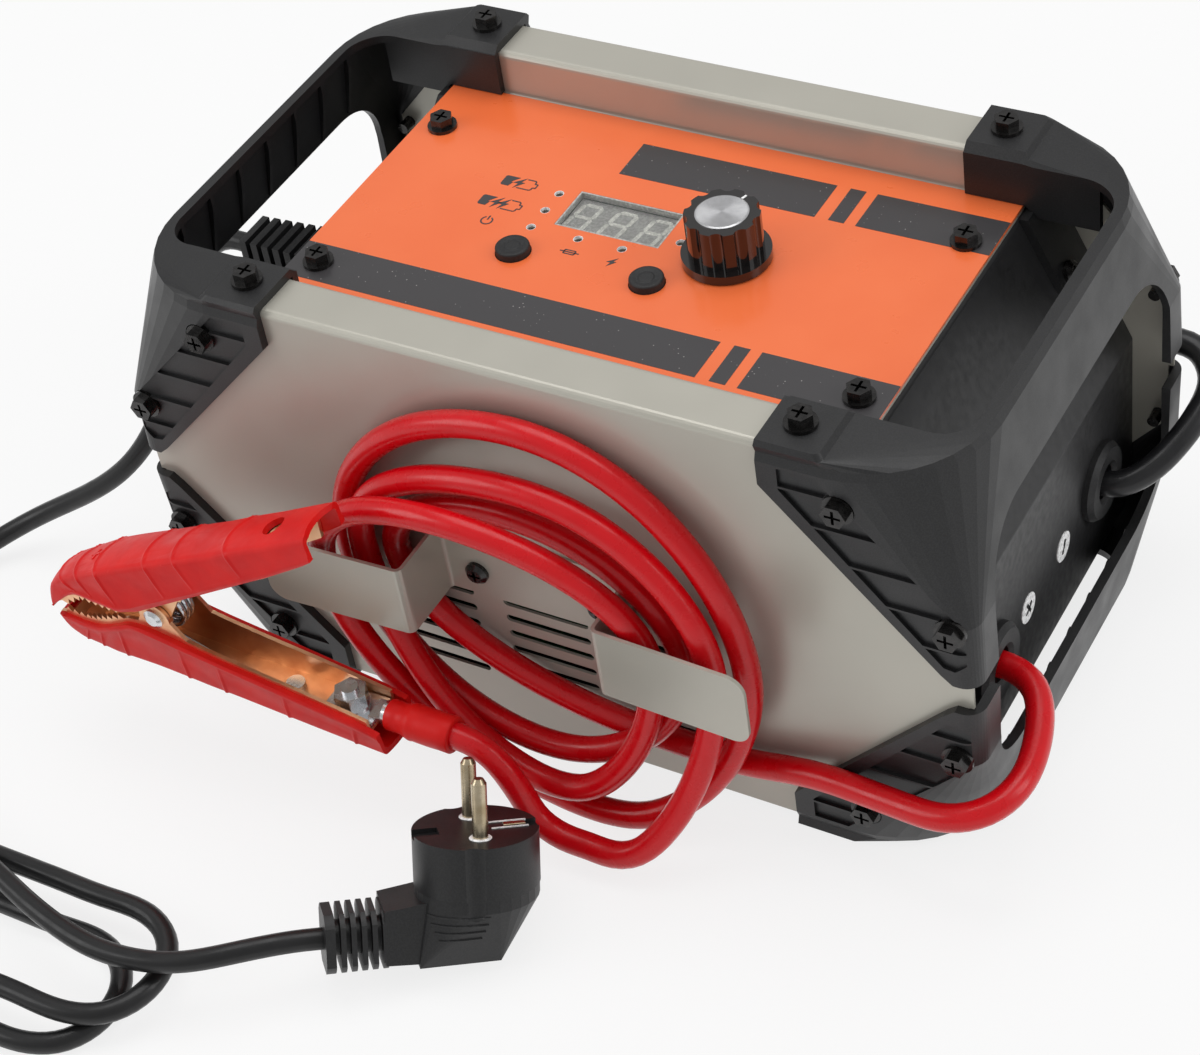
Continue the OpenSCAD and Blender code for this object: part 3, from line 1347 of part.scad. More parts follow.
cover_shell();
base_plate();
end_plate_left();
end_plate_right();
upper_frame_left();
upper_frame_right();
lower_frame_left();
lower_frame_right();
frame_screws();
pan_screws();
control_panel();
panel_screws();
display_window();
display_module();
indicator_leds();
control_board();
button_left();
button_right();
tact_switches();
control_knob();
knob_cap();
knob_shaft();
potentiometer();
front_cable_hooks();
rear_cable_hooks();
grommets();
polarity_markers();
mains_strain_relief();
main_board();
transformer();
heat_sink();
capacitors();
fan_frame();
fan_rotor();
red_jaw_lower();
red_jaw_upper();
red_grip_lower();
red_grip_upper();
red_rivet();
red_spring();
red_lug_bolts();
red_sleeve();
black_jaw_lower();
black_jaw_upper();
black_grip_lower();
black_grip_upper();
black_rivet();
black_spring();
black_lug_bolts();
black_sleeve();
red_lead();
red_coil();
black_lead();
black_coil();
mains_lead();
mains_coil();
mains_plug();
plug_pins();
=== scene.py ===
# %% [markdown]
# A battery charger in a folded steel case, with black corner frames, an orange
# control panel, two heavy battery leads with clamps and a mains cord.
# The solid parts come from the CAD model and stay where they are. This lesson
# gives them their finishes and adds what a solid model leaves out: the cords,
# the moulded grips, the printed panel and the light.

# %% Load the frame
import math

import bmesh
import bpy
import numpy as np
from mathutils import Matrix, Vector


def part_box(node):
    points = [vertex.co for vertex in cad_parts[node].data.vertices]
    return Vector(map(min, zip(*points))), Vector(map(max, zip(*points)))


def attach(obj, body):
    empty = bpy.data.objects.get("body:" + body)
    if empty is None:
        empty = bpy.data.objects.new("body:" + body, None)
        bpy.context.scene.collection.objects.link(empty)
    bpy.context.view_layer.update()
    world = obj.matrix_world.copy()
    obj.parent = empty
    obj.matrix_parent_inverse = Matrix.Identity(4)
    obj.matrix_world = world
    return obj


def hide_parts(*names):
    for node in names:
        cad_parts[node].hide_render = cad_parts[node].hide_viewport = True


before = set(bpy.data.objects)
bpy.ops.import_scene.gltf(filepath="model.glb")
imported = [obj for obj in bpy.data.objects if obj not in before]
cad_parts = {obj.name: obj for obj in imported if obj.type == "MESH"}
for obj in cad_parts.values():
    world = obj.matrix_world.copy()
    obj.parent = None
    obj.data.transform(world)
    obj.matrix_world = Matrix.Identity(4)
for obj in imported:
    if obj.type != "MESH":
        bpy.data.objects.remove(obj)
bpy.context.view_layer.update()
MM = 0.001


def placed(name, data):
    """a new object in the scene, from a mesh, a curve, a lamp or a camera"""
    made = bpy.data.objects.new(name, data)
    bpy.context.collection.objects.link(made)
    return made


# %% [markdown]
# The camera stands in front of the charger and to its right, looks down on
# it, and is rolled a little. Its place and its three axes are written as
# numbers, and the axes are squared up so that the view isn't sheared.

# %% Camera
IMAGE_WIDTH = 1200
FOCAL_PIXELS = 2767.1
CAMERA_AT = Vector((380.5, -574.5, 668.8)) * MM
CAMERA_LOOKS = Vector((-0.4282, 0.5965, -0.6788))
CAMERA_RIGHT = Vector((0.869, 0.478, -0.128))


def make_camera():
    data = bpy.data.cameras.new("camera")
    data.sensor_width = 36
    data.lens = FOCAL_PIXELS / IMAGE_WIDTH * data.sensor_width
    camera = placed("camera", data)
    looks = CAMERA_LOOKS.normalized()
    right = (CAMERA_RIGHT - CAMERA_RIGHT.dot(looks) * looks).normalized()
    up = right.cross(looks)
    axes = Matrix((right, up, -looks)).transposed()
    camera.matrix_world = Matrix.Translation(CAMERA_AT) @ axes.to_4x4()
    bpy.context.scene.camera = camera
    return camera


print("camera lens in mm:", round(make_camera().data.lens, 1))

# %% [markdown]
# A material here is Blender's Principled shader with a few texture nodes in
# front of it. These helpers keep each finish down to a few lines: one adds a
# node and wires it, and the others are the textures that the finishes share.
# All textures are laid out in the object's own metres, so they don't swim
# when a part moves.

# %% Material helpers
def srgb(red, green, blue):
    """a colour as it looks on a screen, turned into the linear one that Blender mixes"""
    def linear(value):
        value = value / 255
        return value / 12.92 if value <= 0.04045 else ((value + 0.055) / 1.055) ** 2.4
    return (linear(red), linear(green), linear(blue), 1.0)


def add(material, kind, inputs=None, **settings):
    """a new node; an input is a number, a colour or another node's output"""
    node = material.node_tree.nodes.new("ShaderNode" + kind)
    for name, value in settings.items():
        setattr(node, name, value)
    for name, value in (inputs or {}).items():
        if isinstance(value, bpy.types.NodeSocket):
            material.node_tree.links.new(value, node.inputs[name])
        else:
            node.inputs[name].default_value = value
    return node


def shader_of(material):
    return material.node_tree.nodes["Principled BSDF"]


def wire(material, output, name):
    material.node_tree.links.new(output, shader_of(material).inputs[name])


def finish(name, rough=0.5, metal=0.0, specular=0.5, coat=0.0, coat_rough=0.05):
    material = bpy.data.materials.new(name)
    material.use_nodes = True
    inputs = shader_of(material).inputs
    inputs["Roughness"].default_value = rough
    inputs["Metallic"].default_value = metal
    inputs["Specular IOR Level"].default_value = specular
    inputs["Coat Weight"].default_value = coat
    inputs["Coat Roughness"].default_value = coat_rough
    return material


def place(material, stretch=(1, 1, 1)):
    """the point on the object, in metres, stretched along an axis if need be"""
    point = add(material, "TexCoord").outputs["Object"]
    if stretch == (1, 1, 1):
        return point
    return add(material, "Mapping", {"Vector": point, "Scale": stretch}).outputs["Vector"]


def noise(material, size_mm, detail=3.0, stretch=(1, 1, 1)):
    """soft random blotches of about that size, from 0 to 1"""
    inputs = {"Vector": place(material, stretch), "Scale": 1 / (size_mm * MM), "Detail": detail}
    return add(material, "TexNoise", inputs).outputs["Fac"]


def ranged(material, value, low, high, from_low=0.3, from_high=0.7):
    inputs = {"Value": value, "From Min": from_low, "From Max": from_high,
              "To Min": low, "To Max": high}
    return add(material, "MapRange", inputs).outputs["Result"]


def blended(material, factor, first, second):
    node = add(material, "Mix", data_type="RGBA")
    for index, value in ((0, factor), (6, first), (7, second)):
        if isinstance(value, bpy.types.NodeSocket):
            material.node_tree.links.new(value, node.inputs[index])
        else:
            node.inputs[index].default_value = value
    return node.outputs[2]


def bumped(material, height, strength, depth_mm, before=None):
    inputs = {"Height": height, "Strength": strength, "Distance": depth_mm * MM}
    if before is not None:
        inputs["Normal"] = before
    return add(material, "Bump", inputs).outputs["Normal"]


def tinted(material, size_mm, detail, first, second, low=0.3, high=0.7):
    """mixes two tones in blotches of that size"""
    tone = ranged(material, noise(material, size_mm, detail), 0, 1, low, high)
    wire(material, blended(material, tone, first, second), "Base Color")


def dulled(material, size_mm, detail, low, high):
    """lets the roughness wander between two values"""
    wire(material, ranged(material, noise(material, size_mm, detail), low, high), "Roughness")


def grained(material, size_mm, detail, strength, depth_mm, before=None, stretch=(1, 1, 1)):
    """gives the skin a fine relief, on top of a coarser one if there is one before it"""
    height = noise(material, size_mm, detail, stretch)
    wire(material, bumped(material, height, strength, depth_mm, before), "Normal")


print("material helpers ready")

# %% [markdown]
# A battery lead is a stiff PVC cable with a shine. The skin has a faint
# waviness from the extruder, thin scuffs, and dull patches where it was
# handled. Stretched noise gives the scuffs and soft noise the patches.

# %% Cable finishes
def cable_skin(name, colour, dark, rough, scuff):
    material = finish(name, rough=rough, specular=0.35, coat=0.14, coat_rough=0.1)
    tinted(material, 9, 4, colour, dark)
    dulled(material, 5, 5, rough - 0.07, rough + 0.1)
    wave = bumped(material, noise(material, 9, 1), 0.12, 0.12)
    scratch = ranged(material, noise(material, 0.9, 5, (1, 1, 0.25)), 0, 1, 0.52, 0.72)
    wire(material, bumped(material, scratch, scuff, 0.02, wave), "Normal")
    return material


red_cable = cable_skin("red_cable_pvc", srgb(214, 5, 20), srgb(208, 4, 17), 0.28, 0.1)
black_cable = cable_skin("black_cable_pvc", srgb(30, 30, 32), srgb(22, 22, 24), 0.34, 0.3)
mains_skin = cable_skin("mains_cable_pvc", srgb(27, 27, 28), srgb(20, 20, 21), 0.4, 0.35)

# %% [markdown]
# Each cord is one smooth curve with a round section. Its route is a list of
# points, the same ones that the CAD solid follows: out of the case, round the
# hooks, and on to the clamp. A natural cubic spline through the points has no
# kinks, and it is then cut into even steps, which gives an even mesh.

# %% Smooth routes
CORD_STEP = 3.0


def second_derivatives(points, spans):
    """how the natural spline bends at each point"""
    count = len(points)
    system = np.eye(count)
    known = np.zeros((count, 3))
    for i in range(1, count - 1):
        system[i, i - 1:i + 2] = spans[i - 1], 2 * (spans[i - 1] + spans[i]), spans[i]
        known[i] = 6 * ((points[i + 1] - points[i]) / spans[i]
                        - (points[i] - points[i - 1]) / spans[i - 1])
    return np.linalg.solve(system, known)


def smooth_route(points, step=CORD_STEP):
    """the points of one smooth line through the route's points, evenly spaced, in mm"""
    points = np.array(points, float)
    spans = np.linalg.norm(np.diff(points, axis=0), axis=1)
    bends = second_derivatives(points, spans)
    fine = []
    for i, span in enumerate(spans):
        for t in np.linspace(0, span, max(4, int(span)), endpoint=False):
            rest = span - t
            fine.append((bends[i] * rest**3 + bends[i + 1] * t**3) / (6 * span)
                        + (points[i] / span - bends[i] * span / 6) * rest
                        + (points[i + 1] / span - bends[i + 1] * span / 6) * t)
    fine = np.array(fine + [points[-1]])
    run = np.concatenate([[0], np.cumsum(np.linalg.norm(np.diff(fine, axis=0), axis=1))])
    even = np.linspace(0, run[-1], int(run[-1] / step) + 1)
    return np.stack([np.interp(even, run, fine[:, axis]) for axis in range(3)], axis=1)


def route_length(points):
    return float(np.linalg.norm(np.diff(points, axis=0), axis=1).sum()) * MM


def round_wire(name, points, diameter, material, body, sides=5):
    """a curve with a round section along the points, in mm"""
    curve = bpy.data.curves.new(name, "CURVE")
    curve.dimensions = "3D"
    curve.bevel_depth = diameter / 2 * MM
    curve.bevel_resolution = sides
    curve.use_fill_caps = True
    line = curve.splines.new("POLY")
    line.points.add(len(points) - 1)
    for target, point in zip(line.points, points):
        target.co = (*(point * MM), 1)
    line.use_smooth = True
    curve.materials.append(material)
    piece = placed(name, curve)
    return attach(piece, body)


# %% [markdown]
# The battery leads are wound by hand round the two hooks: four uneven loops,
# each drawn as quarter ellipses between a bottom, a left, a top and a right
# point. The black coil is the red one mirrored to the other side of the case,
# and only its stretch from the grommet and its end at the clamp differ.

# %% Battery leads
LEAD_DIAMETER = 8.8
LOOP_POINTS = [
    (48.5, -87, 26.5), (-48.5, -87, 79.5), (-3.5, -87.5, 108.5), (55, -90.5, 68.5),
    (5, -99, 21), (-67, -87, 76), (7, -87, 144), (76.5, -90, 68.5),
    (29, -107.5, 7.5), (-69.5, -99, 75), (-13, -105, 117), (48.5, -99, 71.5),
    (16.5, -111.5, 18.5), (-57, -92.5, 85.5), (9.5, -94.5, 127.5), (69.5, -98.5, 76),
    (40, -124, 9.5)]
STEPS_PER_QUARTER = 6
RED_ROUTE = [
    (128.4, -37, 47), (138, -37, 47), (147, -41.5, 47), (153.5, -52, 46), (157, -65, 45),
    (157.5, -78, 44.5), (152.5, -89, 43), (142, -94, 40), (128, -92.8, 37), (112, -90, 34.5),
    (95, -88, 32.3), (79, -87.1, 28.6), (66.1, -87, 26.5), (57.3, -87, 26.5)]
BLACK_ROUTE = [
    (128.4, 49, 49), (138, 49, 49), (146.5, 55, 52), (152.5, 65, 57), (156.3, 77, 63),
    (156, 88, 68.5), (149, 95.5, 72), (137, 97, 72), (124, 94.5, 67), (112, 91.5, 58.5),
    (101, 89.2, 49), (90, 87.5, 39.5), (79, 87, 30.8), (66.1, 87, 26.5), (57.3, 87, 26.5)]
TAIL_ROUTE = [
    (31.2, -124, 9.5), (26.2, -124, 9.5), (18.9, -124, 11.1), (13, -123.8, 15.6),
    (9.6, -123.5, 22.2), (6.2, -123.2, 28.9), (1.5, -123, 36), (-5.5, -123, 40.8),
    (-11, -123, 41.7), (-28.2, -123, 41.7)]
LOW_TAIL_ROUTE = [
    (31.2, 124, 9.5), (26.2, 124, 9.5), (18.9, 124, 10.3), (12, 123.8, 13), (5.5, 123.5, 16.8),
    (-1, 123.1, 20), (-6.5, 123, 21.4), (-11, 123, 21.7), (-28.2, 123, 21.7)]


def quarter_loop(a, b, rising):
    """points from a up to b, on a quarter ellipse, without b itself"""
    made = []
    for k in range(STEPS_PER_QUARTER):
        u = math.pi / 2 * k / STEPS_PER_QUARTER
        y = a[1] + (b[1] - a[1]) * (1 - math.cos(2 * u)) / 2
        if rising:
            x = a[0] + (b[0] - a[0]) * math.sin(u)
            z = b[2] + (a[2] - b[2]) * math.cos(u)
        else:
            x = b[0] + (a[0] - b[0]) * math.cos(u)
            z = a[2] + (b[2] - a[2]) * math.sin(u)
        made.append((x, y, z))
    return made


def lead_loops():
    made = []
    for i, (a, b) in enumerate(zip(LOOP_POINTS, LOOP_POINTS[1:])):
        made += quarter_loop(a, b, i % 2 == 0)
    return made + [LOOP_POINTS[-1]]


def mirrored(points):
    return [(x, -y, z) for x, y, z in points]


leads = {}
for colour, first, side in (("red", RED_ROUTE, 1), ("black", BLACK_ROUTE, -1)):
    loops, tail = lead_loops(), TAIL_ROUTE
    if side < 0:
        loops, tail = mirrored(loops), LOW_TAIL_ROUTE
    skin = red_cable if colour == "red" else black_cable
    route = smooth_route(first + loops + tail)
    lead = round_wire(f"{colour}_battery_lead", route, LEAD_DIAMETER, skin, "housing")
    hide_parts(f"{colour}_lead", f"{colour}_coil")
    leads[colour] = (lead, route)
    print(colour, "lead length in m:", round(route_length(route), 3))

# %% [markdown]
# The mains cord leaves the strain relief, drops to the table in an easy curve
# and runs out of sight, where its spare length is folded into a hank of two
# turns. It comes back past the front of the charger to its plug.

# %% Mains cord
MAINS_DIAMETER = 7.0
MAINS_ROUTE = [
    (-149.55, -8, 115), (-158, -8, 115), (-166, -10.5, 111), (-171.5, -19, 100),
    (-173, -30, 85), (-175, -41, 69), (-180, -50.5, 54), (-191, -58, 40), (-207, -63.5, 28),
    (-225, -69, 17.5), (-240, -79, 9.5), (-250, -94, 5), (-255, -113, 3.6),
    (-257.5, -134, 3.6), (-259, -154, 3.6), (-259.3, -172, 3.6), (-259, -186, 3.6),
    (-256.9, -196.7, 3.6), (-250.8, -205.8, 3.6), (-241.7, -211.9, 3.6), (-231, -214, 3.6)]
PLUG_ROUTE = [
    (-188, -203.2, 18.6), (-168, -205, 18.6), (-150, -208.5, 18.6), (-133, -213.5, 18.6),
    (-118, -218.5, 18.6), (-103, -222.5, 18.6), (-87, -225, 18.8), (-70, -224, 19.6),
    (-55, -219.5, 21), (-43, -212, 22)]
HANK_RUN = 125.0
HANK_RADIUS = 21.0
HANK_TURNS = 2
HANK_STEPS = 24
HANK_MIDDLES = [(-99, -235), (-87, -224), (-87, -224)]
HANK_LOW = 3.6
HANK_RISE = 7.5
PLUG_AT = Vector((9.6, -149.2, 36.2))
PLUG_TURNS = (("Z", 40.4), ("Y", 11.9), ("X", -26.8))


def eased(t):
    t = min(1.0, max(0.0, t))
    return t * t * (3 - 2 * t)


def hank_turn(s):
    """a point on one flat loop with two straight runs, s mm along it from its rear left end"""
    fold = math.pi * HANK_RADIUS
    if s < HANK_RUN:
        return (s - HANK_RUN, HANK_RADIUS)
    if s < HANK_RUN + fold:
        a = (s - HANK_RUN) / HANK_RADIUS
        return (HANK_RADIUS * math.sin(a), HANK_RADIUS * math.cos(a))
    if s < 2 * HANK_RUN + fold:
        return (HANK_RUN + fold - s, -HANK_RADIUS)
    a = (s - 2 * HANK_RUN - fold) / HANK_RADIUS
    return (-HANK_RUN - HANK_RADIUS * math.sin(a), -HANK_RADIUS * math.cos(a))


def hank_middle(t):
    i = min(int(t), HANK_TURNS - 1)
    w = eased((t - i - 0.6) / 0.38)
    return Vector(HANK_MIDDLES[i]) * (1 - w) + Vector(HANK_MIDDLES[i + 1]) * w


def hank_point(t, s):
    x, y = Vector(hank_turn(s)) + hank_middle(t)
    return (x, y, HANK_LOW + HANK_RISE * (int(t) + eased((t - int(t) - 0.7) / 0.18)))


def hank():
    turn_length = 2 * HANK_RUN + 2 * math.pi * HANK_RADIUS
    ticks = [k / HANK_STEPS for k in range(HANK_TURNS * HANK_STEPS)]
    return [hank_point(t, (t - int(t)) * turn_length) for t in ticks] + [hank_point(HANK_TURNS, 0)]


def on_plug(x, y, z):
    """a point given in the plug's own frame: z along the pins, -x towards the cord"""
    point = Vector((x, y, z))
    for axis, degrees in reversed(PLUG_TURNS):
        point = Matrix.Rotation(math.radians(degrees), 3, axis) @ point
    return PLUG_AT + point


mains_points = MAINS_ROUTE + hank() + PLUG_ROUTE
mains_points += [tuple(on_plug(-55, 0, -31)), tuple(on_plug(-48, 0, -31))]
mains_path = smooth_route(mains_points)
mains_cord = round_wire("mains_cord", mains_path, MAINS_DIAMETER, mains_skin, "housing", 4)
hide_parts("mains_lead", "mains_coil")
print("mains cord length in m:", round(route_length(mains_path), 3))

# %% [markdown]
# A case like this is sprayed with a warm grey metallic paint. It has a very
# fine orange peel, a satin gloss that blurs what it mirrors, and a tiny change
# of tone from place to place. The black inner plates have a rougher powder
# coat.

# %% Paint and powder coat
def satin_paint():
    material = finish("warm_grey_satin_paint", rough=0.34, metal=0.35, coat=0.15, coat_rough=0.3)
    tinted(material, 60, 3, srgb(188, 185, 174), srgb(182, 179, 168))
    dulled(material, 18, 5, 0.31, 0.38)
    flake = bumped(material, noise(material, 0.35, 2), 0.06, 0.02)
    grained(material, 1.6, 2, 0.05, 0.04, flake)
    return material


def powder_coat(name, colour, rough):
    material = finish(name, rough=rough, specular=0.4)
    tone = ranged(material, noise(material, 25, 4), 0, 1)
    lighter = [c * 1.35 for c in colour[:3]] + [1.0]
    wire(material, blended(material, tone, colour, lighter), "Base Color")
    dulled(material, 3, 4, rough - 0.06, rough + 0.08)
    grained(material, 0.7, 3, 0.18, 0.06)
    return material


satin = satin_paint()
black_sheet = powder_coat("black_powder_coat", srgb(33, 33, 34), 0.42)

# %% [markdown]
# The frames, the plug and the strain relief are moulded plastic with a spark
# eroded texture: a dense field of tiny bumps that breaks up the shine. The
# texture is a fine noise in the bump; a little dust sits in it, so the colour
# is mixed as well.

# %% Moulded plastics and rubber
def textured_plastic(name, colour, rough, grain_mm, grain):
    material = finish(name, rough=rough, specular=0.45)
    lighter = [c * 1.5 + 0.002 for c in colour[:3]] + [1.0]
    tinted(material, grain_mm, 4, colour, lighter, 0.42, 0.62)
    dulled(material, 14, 4, rough - 0.05, rough + 0.07)
    grained(material, grain_mm, 3, grain, 0.09)
    return material


frame_plastic = textured_plastic("black_textured_plastic", srgb(27, 27, 28), 0.4, 0.45, 0.22)
plug_plastic = textured_plastic("black_plug_pvc", srgb(21, 21, 22), 0.42, 0.6, 0.3)
rubber = textured_plastic("black_rubber_moulding", srgb(26, 26, 27), 0.55, 0.8, 0.25)
key_rubber = textured_plastic("black_key_rubber", srgb(28, 28, 29), 0.6, 0.5, 0.2)
pale_plastic = textured_plastic("pale_translucent_plastic", srgb(168, 168, 164), 0.3, 0.9, 0.1)
white_plastic = textured_plastic("white_plastic", srgb(225, 225, 225), 0.4, 1.2, 0.06)

# %% [markdown]
# The knob is polished phenolic: nearly black, with a hard clear shine. The
# screws are blackened steel, oily and bright at the edges.

# %% Glossy black
def polished_black():
    material = finish("polished_black_phenolic", rough=0.12, specular=0.6, coat=0.5, coat_rough=0.03)
    tinted(material, 5, 4, srgb(16, 14, 14), srgb(24, 19, 18))
    grained(material, 2.2, 3, 0.05, 0.05)
    return material


def blackened_steel():
    material = finish("blackened_steel", rough=0.24, metal=0.75, specular=0.6, coat=0.4, coat_rough=0.1)
    tinted(material, 2.5, 5, srgb(26, 25, 25), srgb(52, 50, 49))
    dulled(material, 1.2, 5, 0.18, 0.36)
    grained(material, 0.5, 4, 0.12, 0.04)
    return material


polished = polished_black()
screw_black = blackened_steel()

# %% [markdown]
# Bare metals: copper plate on the jaws, with the brown bloom of handling and
# fine lines from rolling; zinc-bright steel on the springs, bolts and shafts;
# nickelled brass on the mains pins. A rolled or turned surface is streaked one
# way, which a stretched noise gives.

# %% Bare metals
STREAK_MM = 0.6


def bare_metal(name, colour, bloom, rough, streak=(1, 1, 1)):
    material = finish(name, rough=rough, metal=1.0)
    tinted(material, 7, 5, colour, bloom, 0.38, 0.72)
    dulled(material, 3, 5, rough - 0.05, rough + 0.08)
    grained(material, STREAK_MM, 4, 0.06, 0.02, None, streak)
    return material


copper = bare_metal("copper_plate", srgb(246, 196, 154), srgb(236, 178, 136), 0.36, (0.15, 1, 1))
bright_steel = bare_metal("bright_zinc_steel", srgb(222, 224, 227), srgb(204, 204, 204), 0.22)
spring_steel = bare_metal("spring_steel", srgb(212, 215, 220), srgb(188, 190, 194), 0.2)
nickel = bare_metal("nickelled_brass", srgb(198, 184, 158), srgb(168, 150, 120), 0.24, (1, 1, 0.2))
alloy = bare_metal("plain_alloy", srgb(178, 180, 182), srgb(150, 150, 150), 0.4, (1, 0.15, 1))

# %% [markdown]
# The disc in the knob is turned aluminium. Its shine runs in wedges from the
# centre, because each fine groove is a circle. The shader's anisotropy does
# this once it knows that the grooves run round the z axis.

# %% Turned aluminium
def turned_disc():
    material = finish("turned_aluminium", rough=0.27, metal=1.0)
    shader_of(material).inputs["Anisotropic"].default_value = 0.85
    round_z = add(material, "Tangent", direction_type="RADIAL", axis="Z").outputs["Tangent"]
    wire(material, round_z, "Tangent")
    tinted(material, 4, 3, srgb(228, 228, 230), srgb(210, 210, 212))
    grained(material, 0.3, 3, 0.05, 0.01)
    return material


spun = turned_disc()

# %% [markdown]
# The clamp grips are dipped or moulded in soft PVC. Light sinks into it a
# little, so it looks fuller than paint; the skin is slightly uneven and has
# pale scuffs on it.

# %% Grip PVC
def grip_skin(name, colour, deep, scuffed):
    material = finish(name, rough=0.44, specular=0.26)
    shader_of(material).inputs["Subsurface Weight"].default_value = 0.08
    shader_of(material).inputs["Subsurface Radius"].default_value = (1.0, 0.25, 0.15)
    shader_of(material).inputs["Subsurface Scale"].default_value = 1.2 * MM
    tone = ranged(material, noise(material, 11, 4), 0, 1)
    mixed = blended(material, tone, colour, deep)
    scuff = ranged(material, noise(material, 1.3, 6, (1, 1, 0.5)), 0, 0.2, 0.66, 0.78)
    wire(material, blended(material, scuff, mixed, scuffed), "Base Color")
    dulled(material, 4, 4, 0.38, 0.5)
    uneven = bumped(material, noise(material, 7, 3), 0.3, 0.3)
    grained(material, 0.6, 4, 0.1, 0.05, uneven)
    return material


red_grip = grip_skin("red_grip_pvc", srgb(224, 22, 18), srgb(210, 14, 14), srgb(232, 92, 80))
black_grip = grip_skin("black_grip_pvc", srgb(36, 36, 38), srgb(28, 28, 30), srgb(90, 90, 92))
GRIP_SKINS = {"red": red_grip, "black": black_grip}

# %% [markdown]
# Inside the case there is little to see but dark shapes behind the vents. The
# board is green laminate, the transformer a stack of thin iron sheets.

# %% Inside finishes
def laminate():
    material = finish("green_board_laminate", rough=0.35, coat=0.3, coat_rough=0.1)
    track = add(material, "TexBrick", {"Vector": place(material), "Scale": 60.0,
                                       "Color1": srgb(22, 78, 44), "Color2": srgb(26, 92, 50),
                                       "Mortar": srgb(54, 120, 62), "Mortar Size": 0.03})
    wire(material, track.outputs["Color"], "Base Color")
    wire(material, bumped(material, track.outputs["Fac"], 0.2, 0.04), "Normal")
    return material


def stacked_iron():
    material = finish("stacked_iron_sheets", rough=0.45, metal=0.7)
    inputs = {"Vector": place(material), "Scale": 500.0, "Distortion": 0.4}
    sheets = add(material, "TexWave", inputs, bands_direction="X").outputs["Fac"]
    wire(material, blended(material, sheets, srgb(58, 52, 48), srgb(104, 98, 92)), "Base Color")
    wire(material, bumped(material, sheets, 0.3, 0.1), "Normal")
    return material


board_green = laminate()
iron = stacked_iron()
capacitor_blue = textured_plastic("blue_capacitor_sleeve", srgb(32, 44, 78), 0.3, 1.5, 0.05)

# %% [markdown]
# The panel is a clear film printed orange from behind, on a stiff sheet. The
# film is smooth and mirrors softly. The black stripes are printed with a
# speckle of pale flakes. Each flake is the middle of a cell in a fine cell
# pattern, and only the random few cells are lit.

# %% Panel finishes
def orange_film():
    material = finish("orange_printed_film", rough=0.3, specular=0.5, coat=0.35, coat_rough=0.12)
    tinted(material, 40, 3, srgb(247, 120, 66), srgb(242, 112, 58))
    dulled(material, 12, 4, 0.27, 0.34)
    grained(material, 9, 2, 0.08, 0.1)
    return material


def speckled_black():
    material = finish("speckled_black_print", rough=0.36, specular=0.5, coat=0.3, coat_rough=0.15)
    cells = add(material, "TexVoronoi", {"Vector": place(material), "Scale": 900.0})
    near = ranged(material, cells.outputs["Distance"], 1, 0, 0.1, 0.22)
    bright = add(material, "SeparateColor", {"Color": cells.outputs["Color"]}).outputs["Red"]
    lit = ranged(material, bright, 0, 1, 0.9, 0.95)
    fleck = add(material, "Math", {0: near, 1: lit}, operation="MULTIPLY").outputs["Value"]
    wire(material, blended(material, fleck, srgb(58, 56, 58), srgb(172, 168, 166)), "Base Color")
    grained(material, 9, 2, 0.08, 0.1)
    return material


def smoked_window():
    material = finish("smoked_window", rough=0.08, specular=0.5)
    shader_of(material).inputs["Transmission Weight"].default_value = 0.92
    shader_of(material).inputs["IOR"].default_value = 1.3
    haze = ranged(material, noise(material, 10, 3), 0, 1)
    wire(material, blended(material, haze, srgb(238, 238, 236), srgb(230, 230, 228)), "Base Color")
    dulled(material, 4, 3, 0.05, 0.12)
    return material


film = orange_film()
print_black = speckled_black()
window_glass = smoked_window()
display_grey = textured_plastic("display_face_grey", srgb(168, 168, 166), 0.4, 1.0, 0.06)
segment_pale = textured_plastic("unlit_segment", srgb(236, 236, 230), 0.35, 0.8, 0.05)
print("finishes made:", len(bpy.data.materials))

# %% [markdown]
# Faces that meet at a low angle are shaded as one skin. The rounding helper
# has two modifiers: one merges triangles into flat faces, and one bevels the
# sharp edges between them, which works only where two faces share the edge.
# The CAD parts come with their faces apart along the sharp edges. They keep
# the hard edges of the solid, apart from a few on the fan frame.

# %% Rounded edges and smooth shading
SHARP_DEGREES = 32
FLAT_DEGREES = 0.5
FAN_FRAME_ROUND = 0.2       # mm


def shade(piece, degrees=SHARP_DEGREES):
    mesh = piece.data
    mesh.polygons.foreach_set("use_smooth", [True] * len(mesh.polygons))
    mesh.set_sharp_from_angle(angle=math.radians(degrees))
    return piece


def merge_flat(piece):
    merge = piece.modifiers.new("merge flat faces", "DECIMATE")
    merge.decimate_type = "DISSOLVE"
    merge.angle_limit = math.radians(FLAT_DEGREES)


def round_edges(piece, width, segments=2, degrees=SHARP_DEGREES):
    merge_flat(piece)
    bevel = piece.modifiers.new("rounded edges", "BEVEL")
    bevel.width = width * MM
    bevel.segments = segments
    bevel.limit_method = "ANGLE"
    bevel.angle_limit = math.radians(degrees)
    bevel.harden_normals = True
    bevel.miter_outer = "MITER_ARC"
    return piece


def dress(node, material):
    """gives a CAD part its finish"""
    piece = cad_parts[node]
    piece.data.materials.clear()
    piece.data.materials.append(material)
    return shade(piece)


